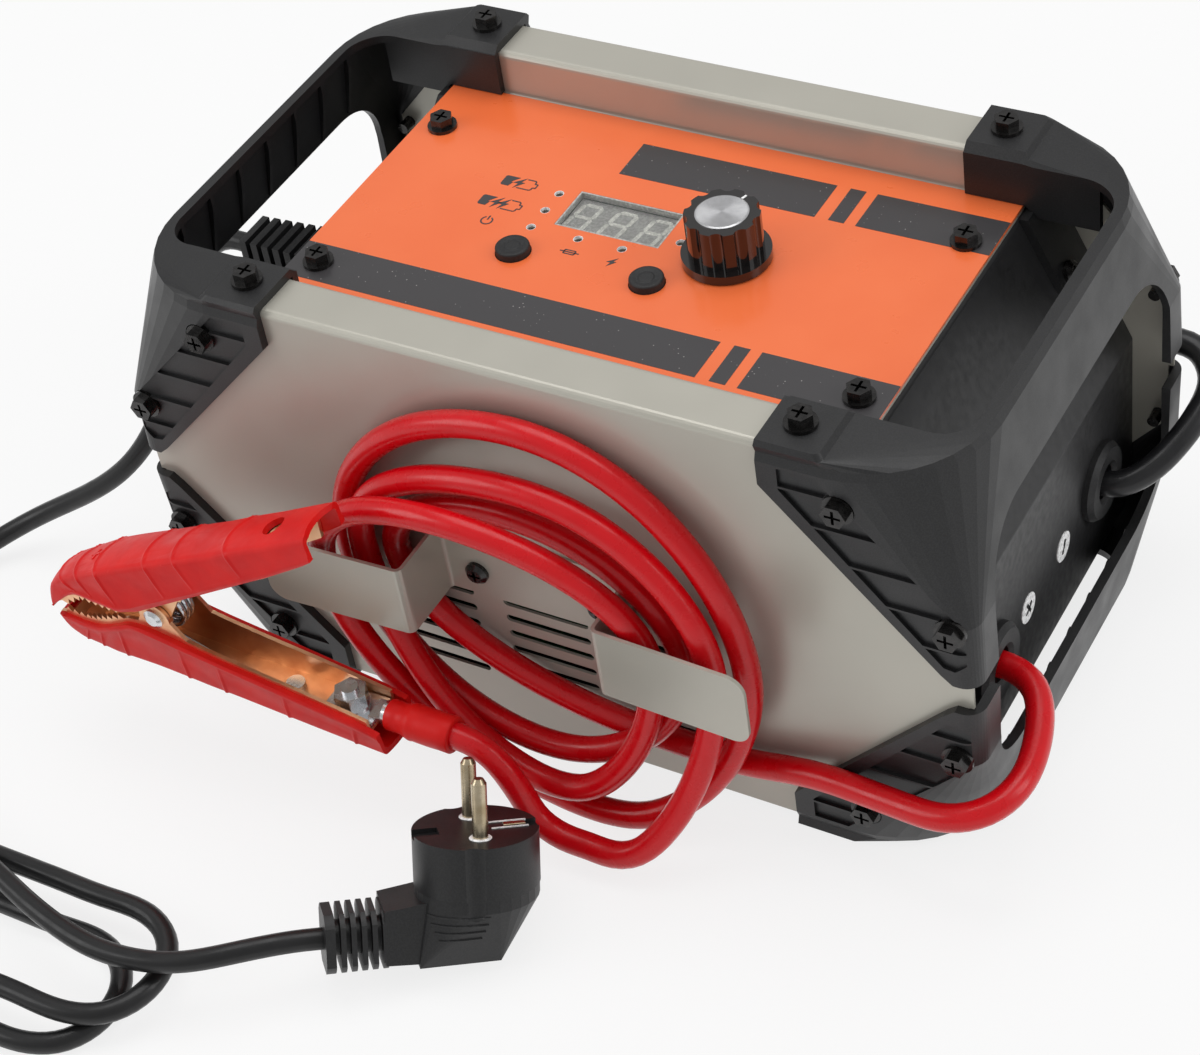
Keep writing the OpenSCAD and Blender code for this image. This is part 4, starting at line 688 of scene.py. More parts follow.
CAD_FINISHES = [
    (frame_plastic, ["upper_frame_left", "upper_frame_right", "lower_frame_left",
                     "lower_frame_right"]),
    (black_sheet, ["base_plate"]),
    (screw_black, ["frame_screws", "panel_screws", "pan_screws"]),
    (film, ["control_panel"]),
    (window_glass, ["display_window"]),
    (display_grey, ["display_module"]),
    (pale_plastic, ["indicator_leds"]),
    (board_green, ["control_board", "main_board", "potentiometer"]),
    (plug_plastic, ["tact_switches", "fan_frame", "fan_rotor", "mains_plug"]),
    (polished, ["control_knob"]),
    (spun, ["knob_cap"]),
    (alloy, ["knob_shaft", "heat_sink"]),
    (rubber, ["grommets", "mains_strain_relief"]),
    (white_plastic, ["polarity_markers"]),
    (iron, ["transformer"]),
    (capacitor_blue, ["capacitors"]),
    (nickel, ["plug_pins"]),
    (copper, ["red_jaw_lower", "red_jaw_upper", "black_jaw_lower", "black_jaw_upper"]),
    (bright_steel, ["red_rivet", "black_rivet", "red_lug_bolts", "black_lug_bolts"]),
]
LEFT_IN_TRIANGLES = ("display_window", "control_board", "main_board", "potentiometer", "knob_cap")
for material, nodes in CAD_FINISHES:
    for node in nodes:
        piece = dress(node, material)
        if node == "fan_frame":
            round_edges(piece, FAN_FRAME_ROUND)
        elif node not in LEFT_IN_TRIANGLES:
            merge_flat(piece)
print("CAD parts dressed:", sum(len(nodes) for _, nodes in CAD_FINISHES))

# %% [markdown]
# Each folded sheet part is replaced by a copy of its mesh with the same shape,
# in which the triangles of a flat face are merged into one.

# %% Folded sheet parts
def folded_sheet(node, name, material, slot):
    """a copy of a CAD sheet part, with its flat faces merged"""
    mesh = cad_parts[node].data.copy()
    mesh.name = name
    bm = bmesh.new()
    bm.from_mesh(mesh)
    bmesh.ops.dissolve_limit(bm, angle_limit=math.radians(FLAT_DEGREES), verts=bm.verts,
                             edges=bm.edges)
    bm.to_mesh(mesh)
    bm.free()
    mesh.materials.clear()
    mesh.materials.append(material)
    piece = placed(name, mesh)
    shade(piece)
    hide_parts(node)
    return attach(piece, "housing")


SHEET_PARTS = [
    ("cover_shell", "painted_cover", satin, "painted_sheet"),
    ("front_cable_hooks", "front_hook_plate", satin, "painted_sheet"),
    ("rear_cable_hooks", "rear_hook_plate", satin, "painted_sheet"),
    ("end_plate_left", "black_end_left", black_sheet, "black_sheet"),
    ("end_plate_right", "black_end_right", black_sheet, "black_sheet"),
]
for row in SHEET_PARTS:
    folded_sheet(*row)
print("sheet parts copied:", len(SHEET_PARTS))

# %% [markdown]
# New pieces are built from points in millimetres. One helper makes the object,
# turns its faces outwards, smooths it and says which body it rides on. Two
# more build the common shapes: a turned piece from its half outline, and a
# flat piece from its outline.

# %% Piece helpers
def make_piece(name, points, faces, material, slot, body="housing", stands_for=(), degrees=SHARP_DEGREES):
    mesh = bpy.data.meshes.new(name)
    mesh.from_pydata([tuple(Vector(p) * MM) for p in points], [], faces)
    mesh.materials.append(material)
    bm = bmesh.new()
    bm.from_mesh(mesh)
    bmesh.ops.recalc_face_normals(bm, faces=bm.faces)
    bm.to_mesh(mesh)
    bm.free()
    piece = placed(name, mesh)
    shade(piece, degrees)
    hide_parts(*stands_for)
    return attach(piece, body)


def turned(outline, at, sides=64, axis="Z"):
    """points and faces of a turned piece; the outline is (radius, height) from axis to axis"""
    points, faces = [], []
    rings = outline[1:-1]
    ends = [outline[0][1], outline[-1][1]]
    for radius, height in rings:
        for k in range(sides):
            a = 2 * math.pi * k / sides
            points.append((radius * math.cos(a), radius * math.sin(a), height))
    for r in range(len(rings) - 1):
        for k in range(sides):
            n = (k + 1) % sides
            faces.append((r * sides + k, r * sides + n, (r + 1) * sides + n, (r + 1) * sides + k))
    for ring, height in ((0, ends[0]), (len(rings) - 1, ends[1])):
        points.append((0, 0, height))
        for k in range(sides):
            faces.append((ring * sides + k, ring * sides + (k + 1) % sides, len(points) - 1))
    turn = Matrix.Identity(3) if axis == "Z" else Matrix.Rotation(math.radians(90), 3, "Y")
    return [tuple(turn @ Vector(p) + Vector(at)) for p in points], faces


def flat_piece(outlines, low, high):
    """points and faces of flat pieces, each outline a list of (x, y)"""
    points, faces = [], []
    for outline in outlines:
        first, count = len(points), len(outline)
        points += [(x, y, low) for x, y in outline] + [(x, y, high) for x, y in outline]
        faces.append(tuple(range(first, first + count)))
        faces.append(tuple(range(first + count, first + 2 * count)))
        for k in range(count):
            n = (k + 1) % count
            faces.append((first + k, first + n, first + count + n, first + count + k))
    return points, faces


def joined(shapes):
    """one list of points and one of faces, from several such pairs"""
    points, faces = [], []
    for made, sides in shapes:
        faces += [tuple(len(points) + k for k in face) for face in sides]
        points += made
    return points, faces


def rectangle(x0, x1, y0, y1):
    return [(x0, y0), (x1, y0), (x1, y1), (x0, y1)]


def stroke(ends, width):
    """a straight line of ink from one point to another"""
    (x0, y0), (x1, y1) = ends
    across = Vector((y0 - y1, x1 - x0)).normalized() * width / 2
    return [(x0 + across[0], y0 + across[1]), (x0 - across[0], y0 - across[1]),
            (x1 - across[0], y1 - across[1]), (x1 + across[0], y1 + across[1])]


print("piece helpers ready")

# %% [markdown]
# The print on the panel lies a hair above the film: speckled stripes along
# both long sides, and small signs that say what each lamp means. Two show a
# battery being charged, slowly with one flash and fast with two. The others
# are a mains switch, a fuse and a flash.

# %% Printed stripes and signs
PANEL_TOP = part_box("control_panel")[1].z / MM
PANEL_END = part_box("control_panel")[1].x / MM - 0.05
INK = 0.08
BAND_BREAK = ((45.0, 49.7), (55.1, 59.0))     # two gaps with a short bar between them
REAR_BAND = (-24.8, 34.6, 51.7)               # where it starts, and its two sides
FRONT_BAND = (-PANEL_END, -47.1, -29.9)
PEN = 0.45


def band(start, low, high):
    (a, b), (c, d) = BAND_BREAK
    return [rectangle(start, a, low, high), rectangle(b, c, low, high), rectangle(d, PANEL_END, low, high)]


def moved(outlines, at, size=1.0):
    return [[(at[0] + x * size, at[1] + y * size) for x, y in outline] for outline in outlines]


def pen_line(points, width=PEN):
    return [stroke(ends, width) for ends in zip(points, points[1:])]


FLASH = [(-0.6, -3.0), (2.3, 0.5), (0.9, 0.5), (2.1, 3.0), (-1.7, -0.4), (0.1, -0.4)]


def battery_sign(flashes, length):
    """a cell, full at its left end, with flashes in the middle; from its lower left corner"""
    tall, nub, cut = 5.0, 1.1, 4.0
    full = [(0, 0.5), (0.5, 0), (cut - 0.9, 0), (cut - 0.2, 2.2), (cut - 1.0, 2.2), (cut + 1.2, tall),
            (0.5, tall), (0, tall - 0.5)]
    start = cut + 2.6 * flashes + 0.4
    end = length - nub
    case = [(start - 0.8, 0), (end - 0.5, 0), (end, 0.5), (end, 1.5), (length, 1.5), (length, tall - 1.5),
            (end, tall - 1.5), (end, tall - 0.5), (end - 0.5, tall), (start + 1.0, tall)]
    signs = [full] + pen_line(case)
    for k in range(flashes):
        signs += moved([FLASH], (cut + 1.6 + 2.6 * k, tall / 2))
    return signs


def arc(radius, start, end, steps=20):
    turns = [math.radians(start + (end - start) * k / steps) for k in range(steps + 1)]
    return [(radius * math.cos(a), radius * math.sin(a)) for a in turns]


def switch_sign():
    return pen_line(arc(1.9, 120, 420), 0.5) + pen_line([(0, 0.4), (0, 2.5)], 0.5)


def fuse_sign():
    box = [(-1.9, -0.9), (1.9, -0.9), (1.9, 0.9), (-1.9, 0.9), (-1.9, -0.9)]
    return pen_line(box) + pen_line([(-3.4, 0), (3.4, 0)])


ink = band(*REAR_BAND) + band(*FRONT_BAND)
ink += moved(battery_sign(1, 12.5), (-59.6, 17.0))
ink += moved(battery_sign(2, 15.2), (-61.6, 5.5))
ink += moved(switch_sign(), (-53.7, -1.4)) + moved(fuse_sign(), (-20.0, -7.0))
ink += moved([FLASH], (-5.2, -7.0), 0.8)
make_piece("panel_print", *flat_piece(ink, PANEL_TOP, PANEL_TOP + INK), print_black, "panel_overlay")
print("printed shapes:", len(ink))

# %% [markdown]
# The three-digit display sits well below the film, so it shows through a
# window with thick, pale cut edges. Each digit is seven bars with pointed
# ends, leaning a little, and none of them is lit.

# %% Display and lamps
WINDOW_LOW, WINDOW_HIGH = [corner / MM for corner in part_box("display_window")]
WINDOW_MIDDLE = (WINDOW_LOW + WINDOW_HIGH) / 2
FACE_Z = PANEL_TOP - 3.4
DIGIT_W, DIGIT_H, DIGIT_PITCH = 8.0, 14.2, 12.7
DIGIT_LEAN = math.tan(math.radians(8))
BAR_W = 1.5
DIGIT_SHIFT = -1.0
LAMPS_AT = [(-38.2, 18.7), (-38.2, 9.5), (-38.2, 0.3), (-20.7, -0.1), (-4.9, -0.1), (11.2, 9.0)]
DOME_OUTLINE = [
    (0, 133.0), (1.45, 133.0), (1.45, 141.9), (1.3, 142.5), (0.9, 142.9), (0.4, 143.05), (0, 143.1)]
HOLE_RADII = (1.6, 1.48)


def bar(start, end, width):
    """a bar with pointed ends"""
    a, b = Vector(start), Vector(end)
    along = (b - a).normalized() * width / 2
    side = Vector((-along.y, along.x))
    return [tuple(p) for p in (a, a + along + side, b - along + side, b, b - along - side, a + along - side)]


def digit(at_x, at_y):
    w, h, gap = DIGIT_W / 2 - BAR_W / 2, DIGIT_H / 2 - BAR_W / 2, 0.12
    bars = []
    for y in (-h, 0, h):
        bars.append(bar((-w + gap, y), (w - gap, y), BAR_W))
    for x in (-w, w):
        for y in (0, h):
            bars.append(bar((x, y - h + gap), (x, y - gap), BAR_W))
    return [[(at_x + x + y * DIGIT_LEAN, at_y + y) for x, y in outline] for outline in bars]


def rounded_box(name, low, high, width, material, slot, stands_for=()):
    piece = make_piece(name, *flat_piece([rectangle(low[0], high[0], low[1], high[1])], low[2], high[2]),
                       material, slot, stands_for=stands_for)
    return round_edges(piece, width)


def ring_wall(outline, inner, low, high):
    """a wall between two outlines with the same number of points"""
    points, faces, n = [], [], len(outline)
    for ring, z in ((outline, low), (outline, high), (inner, high), (inner, low)):
        points += [(x, y, z) for x, y in ring]
    for r in range(4):
        for k in range(n):
            m = (k + 1) % n
            faces.append((r * n + k, r * n + m, (r + 1) % 4 * n + m, (r + 1) % 4 * n + k))
    return points, faces


module_low = Vector(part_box("display_module")[0]) / MM
rounded_box("display_body", module_low, (WINDOW_HIGH.x - 0.1, WINDOW_HIGH.y - 0.1, FACE_Z), 0.3,
            display_grey, "pale_plastic", ["display_module"])
bars = []
for k in (-1, 0, 1):
    bars += digit(WINDOW_MIDDLE.x + DIGIT_SHIFT + k * DIGIT_PITCH, WINDOW_MIDDLE.y)
make_piece("display_bars", *flat_piece(bars, FACE_Z - 0.1, FACE_Z + 0.12), segment_pale, "pale_plastic")
rounded_box("display_pane", (WINDOW_LOW.x, WINDOW_LOW.y, FACE_Z + 0.7),
            (WINDOW_HIGH.x, WINDOW_HIGH.y, PANEL_TOP - 1.2), 0.1, window_glass, "window", ["display_window"])
outer = rectangle(WINDOW_LOW.x, WINDOW_HIGH.x, WINDOW_LOW.y, WINDOW_HIGH.y)
inner = rectangle(WINDOW_LOW.x + 0.5, WINDOW_HIGH.x - 0.5, WINDOW_LOW.y + 0.5, WINDOW_HIGH.y - 0.5)
edge = ring_wall(outer, inner, FACE_Z + 0.8, PANEL_TOP - 0.03)
make_piece("window_edge", *edge, pale_plastic, "pale_plastic")


def hole_edge(x, y):
    """the pale cut edge of the hole over a lamp"""
    turns = np.linspace(0, 2 * math.pi, 33)[:-1]
    rings = [[(x + radius * math.cos(a), y + radius * math.sin(a)) for a in turns] for radius in HOLE_RADII]
    return ring_wall(*rings, PANEL_TOP - 1.0, PANEL_TOP + 0.02)


domes = joined(turned(DOME_OUTLINE, (x, y, 0), 32) for x, y in LAMPS_AT)
make_piece("indicator_domes", *domes, pale_plastic, "pale_plastic", stands_for=["indicator_leds"])
edges = joined(hole_edge(x, y) for x, y in LAMPS_AT)
make_piece("lamp_hole_edges", *edges, white_plastic, "pale_plastic")
print("display bars:", len(bars), "lamps:", len(LAMPS_AT))

# %% [markdown]
# The push buttons are turned shapes: a dished top with a low boss in the
# middle, where the finger presses. Each rides on its own body, so that it
# sinks when it is pressed. The knob's pointer is a white line in its top.

# %% Buttons and pointer
BUTTON_OUTLINE = [
    (0, 139.2), (7.1, 139.2), (7.1, 140.2), (5.6, 140.3), (5.6, 146.3), (5.5, 146.75), (5.2, 147.05),
    (4.7, 147.13), (4.1, 147.0), (3.4, 146.75), (2.9, 146.68), (2.6, 146.72), (2.45, 146.9),
    (2.2, 147.0), (1.2, 146.95), (0, 146.93)]
POINTER_DEGREES = 72

for side in ("left", "right"):
    low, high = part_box(f"button_{side}")
    centre = (low + high) / 2 / MM
    cap = turned(BUTTON_OUTLINE, (centre.x, centre.y, 0))
    make_piece(f"{side}_button_cap", *cap, key_rubber, "black_rubber", body=f"{side}_button",
               stands_for=[f"button_{side}"], degrees=60)
knob_low, knob_high = [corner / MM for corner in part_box("control_knob")]
knob_middle = (knob_low + knob_high) / 2
aim = Vector((math.cos(math.radians(POINTER_DEGREES)), math.sin(math.radians(POINTER_DEGREES))))
ends = [tuple(Vector(knob_middle[:2]) + aim * r) for r in (8.7, 10.7)]
make_piece("knob_pointer", *flat_piece([stroke(ends, 0.8)], knob_high.z - 0.3, knob_high.z + 0.05),
           white_plastic, "pale_plastic", body="knob")
print("knob turns about:", [round(v, 1) for v in knob_middle])

# %% [markdown]
# The two round marks beside the cable glands are white discs with a black
# plus and a black minus, each stuck on at a slant.

# %% Polarity signs
SIGN_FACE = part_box("polarity_markers")[1].x / MM
MARKS = {"minus": (19.5, 45.5, 62), "plus": (-9.5, 45.0, 28)}    # y, z and slant in degrees


def polarity_sign(kind):
    y, z, slant = MARKS[kind]
    bars = []
    for arm in ([0] if kind == "minus" else [0, 90]):
        a = math.radians(slant + arm)
        reach = Vector((math.cos(a), math.sin(a))) * 2.6
        line = stroke([tuple(-reach), tuple(reach)], 1.2)
        bars.append(flat_piece([line], SIGN_FACE - 0.1, SIGN_FACE + 0.05))
    points, faces = joined(bars)
    return [(height, y + u, z + v) for u, v, height in points], faces


for kind in MARKS:
    make_piece(f"{kind}_sign", *polarity_sign(kind), key_rubber, "black_rubber")
print("polarity signs:", len(MARKS))

# %% [markdown]
# Each clamp is drawn in the frame of its rivet: x towards the tail, y across
# and z up. A grip is a moulded shell that is swept along its arm. Its section
# stands between two lines, one along the lip and one along the crown, and a
# thin raised rib bends across it in a few places.

# %% Clamp outlines
CLAMP_AT = {"red": (Vector((-118.2, -123, 61.7)), 1), "black": (Vector((-118.2, 123, 41.7)), -1)}
UPPER_LINES = [
    # crown x and z, then lip x and z
    ((-46.0, -11.2), (-45.6, -11.3)), ((-47.2, -7.0), (-41.6, -7.7)), ((-46.2, -2.8), (-37.5, -4.0)),
    ((-42.5, 1.8), (-33.2, -1.6)), ((-37.0, 5.9), (-29.0, -0.8)), ((-31.0, 9.4), (-25.0, -0.8)),
    ((-25.0, 12.9), (-19.0, -0.4)), ((-19.3, 16.2), (-13.0, -0.3)), ((-10.3, 20.8), (-4.5, 3.0)),
    ((4.0, 27.6), (10.0, 12.0)), ((17.4, 34.2), (24.0, 20.7)), ((30.7, 40.6), (36.0, 28.0)),
    ((40.3, 45.8), (46.0, 34.1)), ((52.6, 51.9), (57.0, 40.9)), ((69.3, 60.7), (71.5, 50.5)),
    ((74.0, 63.1), (75.2, 53.4))]
LOWER_LINES = [
    ((-45.0, -15.5), (-42.0, -14.9)), ((-44.6, -19.0), (-40.0, -14.8)), ((-42.0, -22.0), (-37.0, -14.7)),
    ((-36.0, -23.9), (-33.0, -14.5)), ((-27.0, -23.6), (-26.0, -13.0)), ((-17.0, -23.6), (-18.0, -9.0)),
    ((-10.0, -23.6), (-11.5, -5.5)), ((-3.0, -23.7), (-5.0, -5.2)), ((8.9, -24.6), (7.0, -7.3)),
    ((16.7, -25.4), (15.5, -9.0)), ((28.6, -26.1), (27.5, -10.9)), ((44.0, -27.4), (43.0, -13.1)),
    ((63.0, -29.0), (62.5, -16.3)), ((74.3, -29.8), (74.5, -18.4)), ((84.3, -30.4), (82.7, -20.9))]
UPPER_RIBS = (-38, -29.3, -19, 4.3, 17.7, 40.6)
LOWER_RIBS = (-33.5, -25.9, -15, 9.9, 24.1, 48.5, 73.6)
GRIP_WALL = 2.0
GRIP_CORNER = 2.4
CROWN = 0.7
LIP_HIGH, STEP_IN = 2.6, 0.4
RIB_HIGH, RIB_WIDE, RIB_BOW = 0.5, 1.2, 3.8
GRIP_STEP = 0.4
GRIP_DEGREES = 50
ARM_LEAN = 27


def clamp_point(colour, x, y, z):
    middle, side = CLAMP_AT[colour]
    return middle + Vector((x, side * y, z))


def half_width(x):
    """half the width of the clamp, which narrows towards its nose"""
    return 10 - 2.5 * min(1, max(0, (-20 - x) / 25))


print("grip lines:", len(UPPER_LINES), "above and", len(LOWER_LINES), "below")

# %% [markdown]
# The shell is one mesh: a ring of points at each step along the arm, outside
# and inside, with the rims closed between them. The lines are smoothed first,
# so that the grip has no corners along its length. The ribs need fine steps,
# and the rest of the shell gets by with coarse ones.

# %% Grip shell
def grip_section(half, high, inner):
    """the points (across, up) from one lip to the other; high is from lip to crown"""
    if inner:
        half = max(half - GRIP_WALL, half * 0.6)
        high = max(high - GRIP_WALL, high * 0.5)
    lip = min(LIP_HIGH, high * 0.3)
    side = half if inner else half - STEP_IN
    corner = min(GRIP_CORNER - (1 if inner else 0), high * 0.4)
    shoulder = high - CROWN * min(1, high / 8)
    right = [(half - 0.3, 0.0), (half, 0.4), (half, lip - 0.5), (side, lip)]
    right += [(side, lip + (shoulder - corner - lip) * share) for share in (0.5, 1)]
    for degrees in (22.5, 45, 67.5, 90):
        a = math.radians(degrees)
        right.append((side - corner + corner * math.cos(a), shoulder - corner + corner * math.sin(a)))
    for share in (0.75, 0.5, 0.25):
        across = (side - corner) * share
        right.append((across, high - (high - shoulder) * share**2))
    return right + [(0.0, high)] + [(-across, up) for across, up in reversed(right)]


def grip_lines(lines, ribs):
    """the stations along the grip: (crown, lip, way along the crown, rib places)"""
    crown, lip = (np.array([pair[k] for pair in lines], float) for k in (0, 1))
    run = np.concatenate([[0], np.cumsum(np.linalg.norm(np.diff(crown, axis=0), axis=1))])
    even = np.arange(0, run[-1], GRIP_STEP)
    soft = np.hanning(15) / np.hanning(15).sum()
    smooth = []
    for line in (crown, lip):
        flat = [np.interp(even, run, line[:, axis]) for axis in (0, 1)]
        padded = [np.concatenate([2 * f[0] - f[7:0:-1], f, 2 * f[-1] - f[-2:-9:-1]]) for f in flat]
        smooth.append(np.stack([np.convolve(p, soft, "valid") for p in padded], axis=1))
    body = smooth[0][:, 0]
    places = [even[20 + int(np.argmin(np.abs(body[20:] - x)))] for x in ribs]
    near = [min(abs(at - (place - RIB_BOW / 2)) for place in places) < RIB_BOW / 2 + RIB_WIDE
            for at in even]
    kept = [i for i in range(len(even)) if near[i] or i % 6 == 0 or i == len(even) - 1]
    return [(smooth[0][i], smooth[1][i], even[i]) for i in kept], places


def grip_mesh(colour, lines, ribs):
    stations, places = grip_lines(lines, ribs)
    skins, faces = ([], []), []
    for crown, lip, at in stations:
        up = crown - lip
        high = float(np.linalg.norm(up))
        up = up / high
        for inner in (0, 1):
            ring = []
            for across, rise in grip_section(half_width(crown[0]), high, inner):
                share = min(1, abs(across) / half_width(crown[0]))
                reach = 0.0
                if not inner:
                    bowed = [at - place + RIB_BOW * (1 - share**2) for place in places]
                    reach = RIB_HIGH * max(math.exp(-(b / RIB_WIDE * 2.2)**2) for b in bowed)
                    reach *= eased((rise - LIP_HIGH * 0.8) / 2)
                flank = eased((share - 0.75) / 0.2)
                x, z = lip + up * (rise + reach * (1 - flank))
                ring.append(clamp_point(colour, x, across + math.copysign(reach * flank, across), z))
            skins[inner].append(ring)
    count = len(skins[0][0])
    total = len(stations) * count
    points = [p for skin in skins for ring in skin for p in ring]
    for r in range(len(stations) - 1):
        for k in range(count - 1):
            a, b = r * count + k, (r + 1) * count + k
            faces += [(a, b, b + 1, a + 1), (total + a, total + a + 1, total + b + 1, total + b)]
        for k in (0, count - 1):
            a, b = r * count + k, (r + 1) * count + k
            faces.append((a, total + a, total + b, b))
    for r in (0, len(stations) - 1):
        for k in range(count - 1):
            a = r * count + k
            faces.append((a, a + 1, total + a + 1, total + a))
    return points, faces


print("points in a section:", len(grip_section(half_width(0), 12.0, 0)))

# %% [markdown]
# The upper grip has a hole to hang the clamp up by, and its end is scooped
# out. Both are cut with a cylinder by a boolean modifier, which is applied at
# once so that the rounding of the edges sees the new rims.

# %% Grips with their cuts
HANGING_HOLE = ((55, 53.5), 4.0, 6)       # place on the arm, radius and half height
END_SCOOP = ((87.9, 70), 18.0, 4)


def cut(piece, points, faces):
    """takes a closed shape, given in mm, out of the piece"""
    mesh = bpy.data.meshes.new("cutter")
    mesh.from_pydata([tuple(Vector(p) * MM) for p in points], [], faces)
    cutter = placed("cutter", mesh)
    modifier = piece.modifiers.new("cut", "BOOLEAN")
    modifier.operation = "DIFFERENCE"
    modifier.solver = "EXACT"
    modifier.object = cutter
    bpy.context.view_layer.update()
    solved = piece.evaluated_get(bpy.context.evaluated_depsgraph_get())
    piece.data = bpy.data.meshes.new_from_object(solved)
    piece.modifiers.clear()
    bpy.data.objects.remove(cutter)


def on_arm(colour, points, at, lean):
    """points that stand on the upper arm at x and z, leaning back by that many degrees"""
    turn = Matrix.Rotation(math.radians(-lean), 3, "Y")
    return [clamp_point(colour, *(turn @ Vector(p) + Vector((at[0], 0, at[1])))) for p in points]


def post(colour, at, radius, half):
    """a cylinder that stands on the upper arm"""
    points, faces = turned([(0, -half), (radius, -half), (radius, half), (0, half)], (0, 0, 0), 40)
    return on_arm(colour, points, at, ARM_LEAN), faces


for colour, skin in GRIP_SKINS.items():
    for level, lines, ribs, body in (("upper", UPPER_LINES, UPPER_RIBS, f"{colour}_arm"),
                                     ("lower", LOWER_LINES, LOWER_RIBS, "housing")):
        name = f"{colour}_{level}_grip"
        points, faces = grip_mesh(colour, lines, ribs)
        grip = make_piece(name, points, faces, skin, f"{colour}_grip", body,
                          [f"{colour}_grip_{level}"], GRIP_DEGREES)
        if level == "upper":
            cut(grip, *post(colour, *HANGING_HOLE))
            cut(grip, *post(colour, *END_SCOOP))
            shade(grip, GRIP_DEGREES)
        round_edges(grip, 0.4, 2, 60)
        print(name, "faces:", len(grip.data.polygons))

# %% [markdown]
# The crown carries a small raised sign near the nose, plus on the red clamp
# and minus on the black one. It is moulded with the grip, so it has the same
# finish.

# %% Moulded signs
SIGN_AT = (-25.0, 12.7)
SIGN_SLOPE = 30.0


SIGN_BARS = {"red": ((5, 1.1), (1.1, 5)), "black": ((1.1, 5),)}      # length and width of each

for colour, skin in GRIP_SKINS.items():
    for number, (length, width) in enumerate(SIGN_BARS[colour], 1):
        outline = rectangle(-length / 2, length / 2, -width / 2, width / 2)
        points, faces = flat_piece([outline], -0.6, 0.45)
        bar_piece = make_piece(f"{colour}_moulded_bar_{number}", on_arm(colour, points, SIGN_AT, SIGN_SLOPE),
                               faces, skin, f"{colour}_grip", f"{colour}_arm", [f"{colour}_grip_upper"])
        round_edges(bar_piece, 0.25)
print("moulded bars:", sum(len(bars) for bars in SIGN_BARS.values()))

# %% [markdown]
# The spring round the rivet is bright wire in three turns, with one leg along
# each arm. Behind the clamp a heat-shrink sleeve covers the end of the lead;
# it sits tighter on the lug's neck and is a little creased where it widens.

# %% Springs and sleeves
SPRING_WIRE = 2.0
SPRING_MIDDLE = 7.7         # radius of the wire's middle line
SPRING_HALF = 3.6           # half the width of the turns
SPRING_LOW, SPRING_HIGH = -110, -225
SPRING_TURNED = 1195        # degrees
SPRING_STEPS = 128
SLEEVE_DROP = 20            # how far the lead's end lies below the rivet
SLEEVE_OUTLINE = [
    (0, 82), (5.0, 82), (5.2, 82.4), (5.1, 84), (5.2, 84.6), (5.05, 85.4), (5.15, 88), (5.7, 89.2),
    (6.1, 90.6), (6.15, 91.4), (5.95, 92.2), (6.05, 94), (6.1, 99), (6.0, 102), (6.1, 105.6), (5.8, 106),
    (4.5, 106.02), (0, 106.02)]

SLEEVE_SLOTS = {"red": "red_grip", "black": "black_rubber"}


def spring_ahead(degrees):
    """which way the wire runs at that place on the coil"""
    a = math.radians(degrees)
    return Vector((math.sin(a), 0, -math.cos(a)))


def spring_route():
    turns = []
    for k in range(SPRING_STEPS + 1):
        a = math.radians(SPRING_LOW - SPRING_TURNED * k / SPRING_STEPS)
        across = -SPRING_HALF + 2 * SPRING_HALF * k / SPRING_STEPS
        turns.append(Vector((SPRING_MIDDLE * math.cos(a), across, SPRING_MIDDLE * math.sin(a))))
    first, last = turns[0], turns[-1]
    start = [first - spring_ahead(SPRING_LOW) * back for back in (39, 25, 12, 4)]
    end = [last + spring_ahead(SPRING_HIGH) * on for on in (4, 10, 15)]
    return start + turns + end


for colour, skin in GRIP_SKINS.items():
    points = [clamp_point(colour, *p) for p in spring_route()]
    spring = round_wire(f"{colour}_clamp_spring", points, SPRING_WIRE, spring_steel, "housing")
    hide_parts(f"{colour}_spring")
    points, faces = turned(SLEEVE_OUTLINE, (0, 0, 0), 48, "X")
    points = [clamp_point(colour, x, y, z - SLEEVE_DROP) for x, y, z in points]
    make_piece(f"{colour}_shrink_sleeve", points, faces, skin, SLEEVE_SLOTS[colour], "housing",
               [f"{colour}_sleeve"], 60)
print("spring wire in mm:", SPRING_WIRE)

# %% [markdown]
# The plug is moulded in one with its lead. Each pin stands in a small white
# collar, which is a ring turned from its outline and set on the plug's face,
# and the earth contact lies between two white edges.

# %% Plug face
COLLAR_OUTLINE = [(0, -0.5), (3.5, -0.5), (3.5, 0.15), (3.3, 0.35), (2.55, 0.35), (0, 0.35)]
PIN_APART = 9.5             # from the middle of the face
SLOT_ENDS = (4.6, 16.0)
SLOT_SIDE = 2.7
SLOT_EDGE = 0.6
CONTACT = (8.5, 15.5, -1.3, 1.3)


def plug_piece(name, points, faces, material, slot):
    return make_piece(name, [on_plug(*p) for p in points], faces, material, slot)


for number, side in enumerate((-1, 1), 1):
    collar = turned(COLLAR_OUTLINE, (0, side * PIN_APART, 0), 40)
    plug_piece(f"pin_collar_{number}", *collar, white_plastic, "pale_plastic")
for number, side in enumerate((-1, 1), 1):
    middle = side * SLOT_SIDE
    strip = rectangle(*SLOT_ENDS, middle - SLOT_EDGE / 2, middle + SLOT_EDGE / 2)
    edge = flat_piece([strip], -0.3, 0.3)
    plug_piece(f"earth_slot_edge_{number}", *edge, white_plastic, "pale_plastic")
contact = flat_piece([rectangle(*CONTACT)], -0.4, 0.5)
round_edges(plug_piece("earth_contact", *contact, nickel, "satin_steel"), 0.4)

# %% [markdown]
# Four raised lines on each flank of the plug give the fingers a hold. Rays
# sent from the side find where the skin of the plug is, so the lines follow
# its curve.

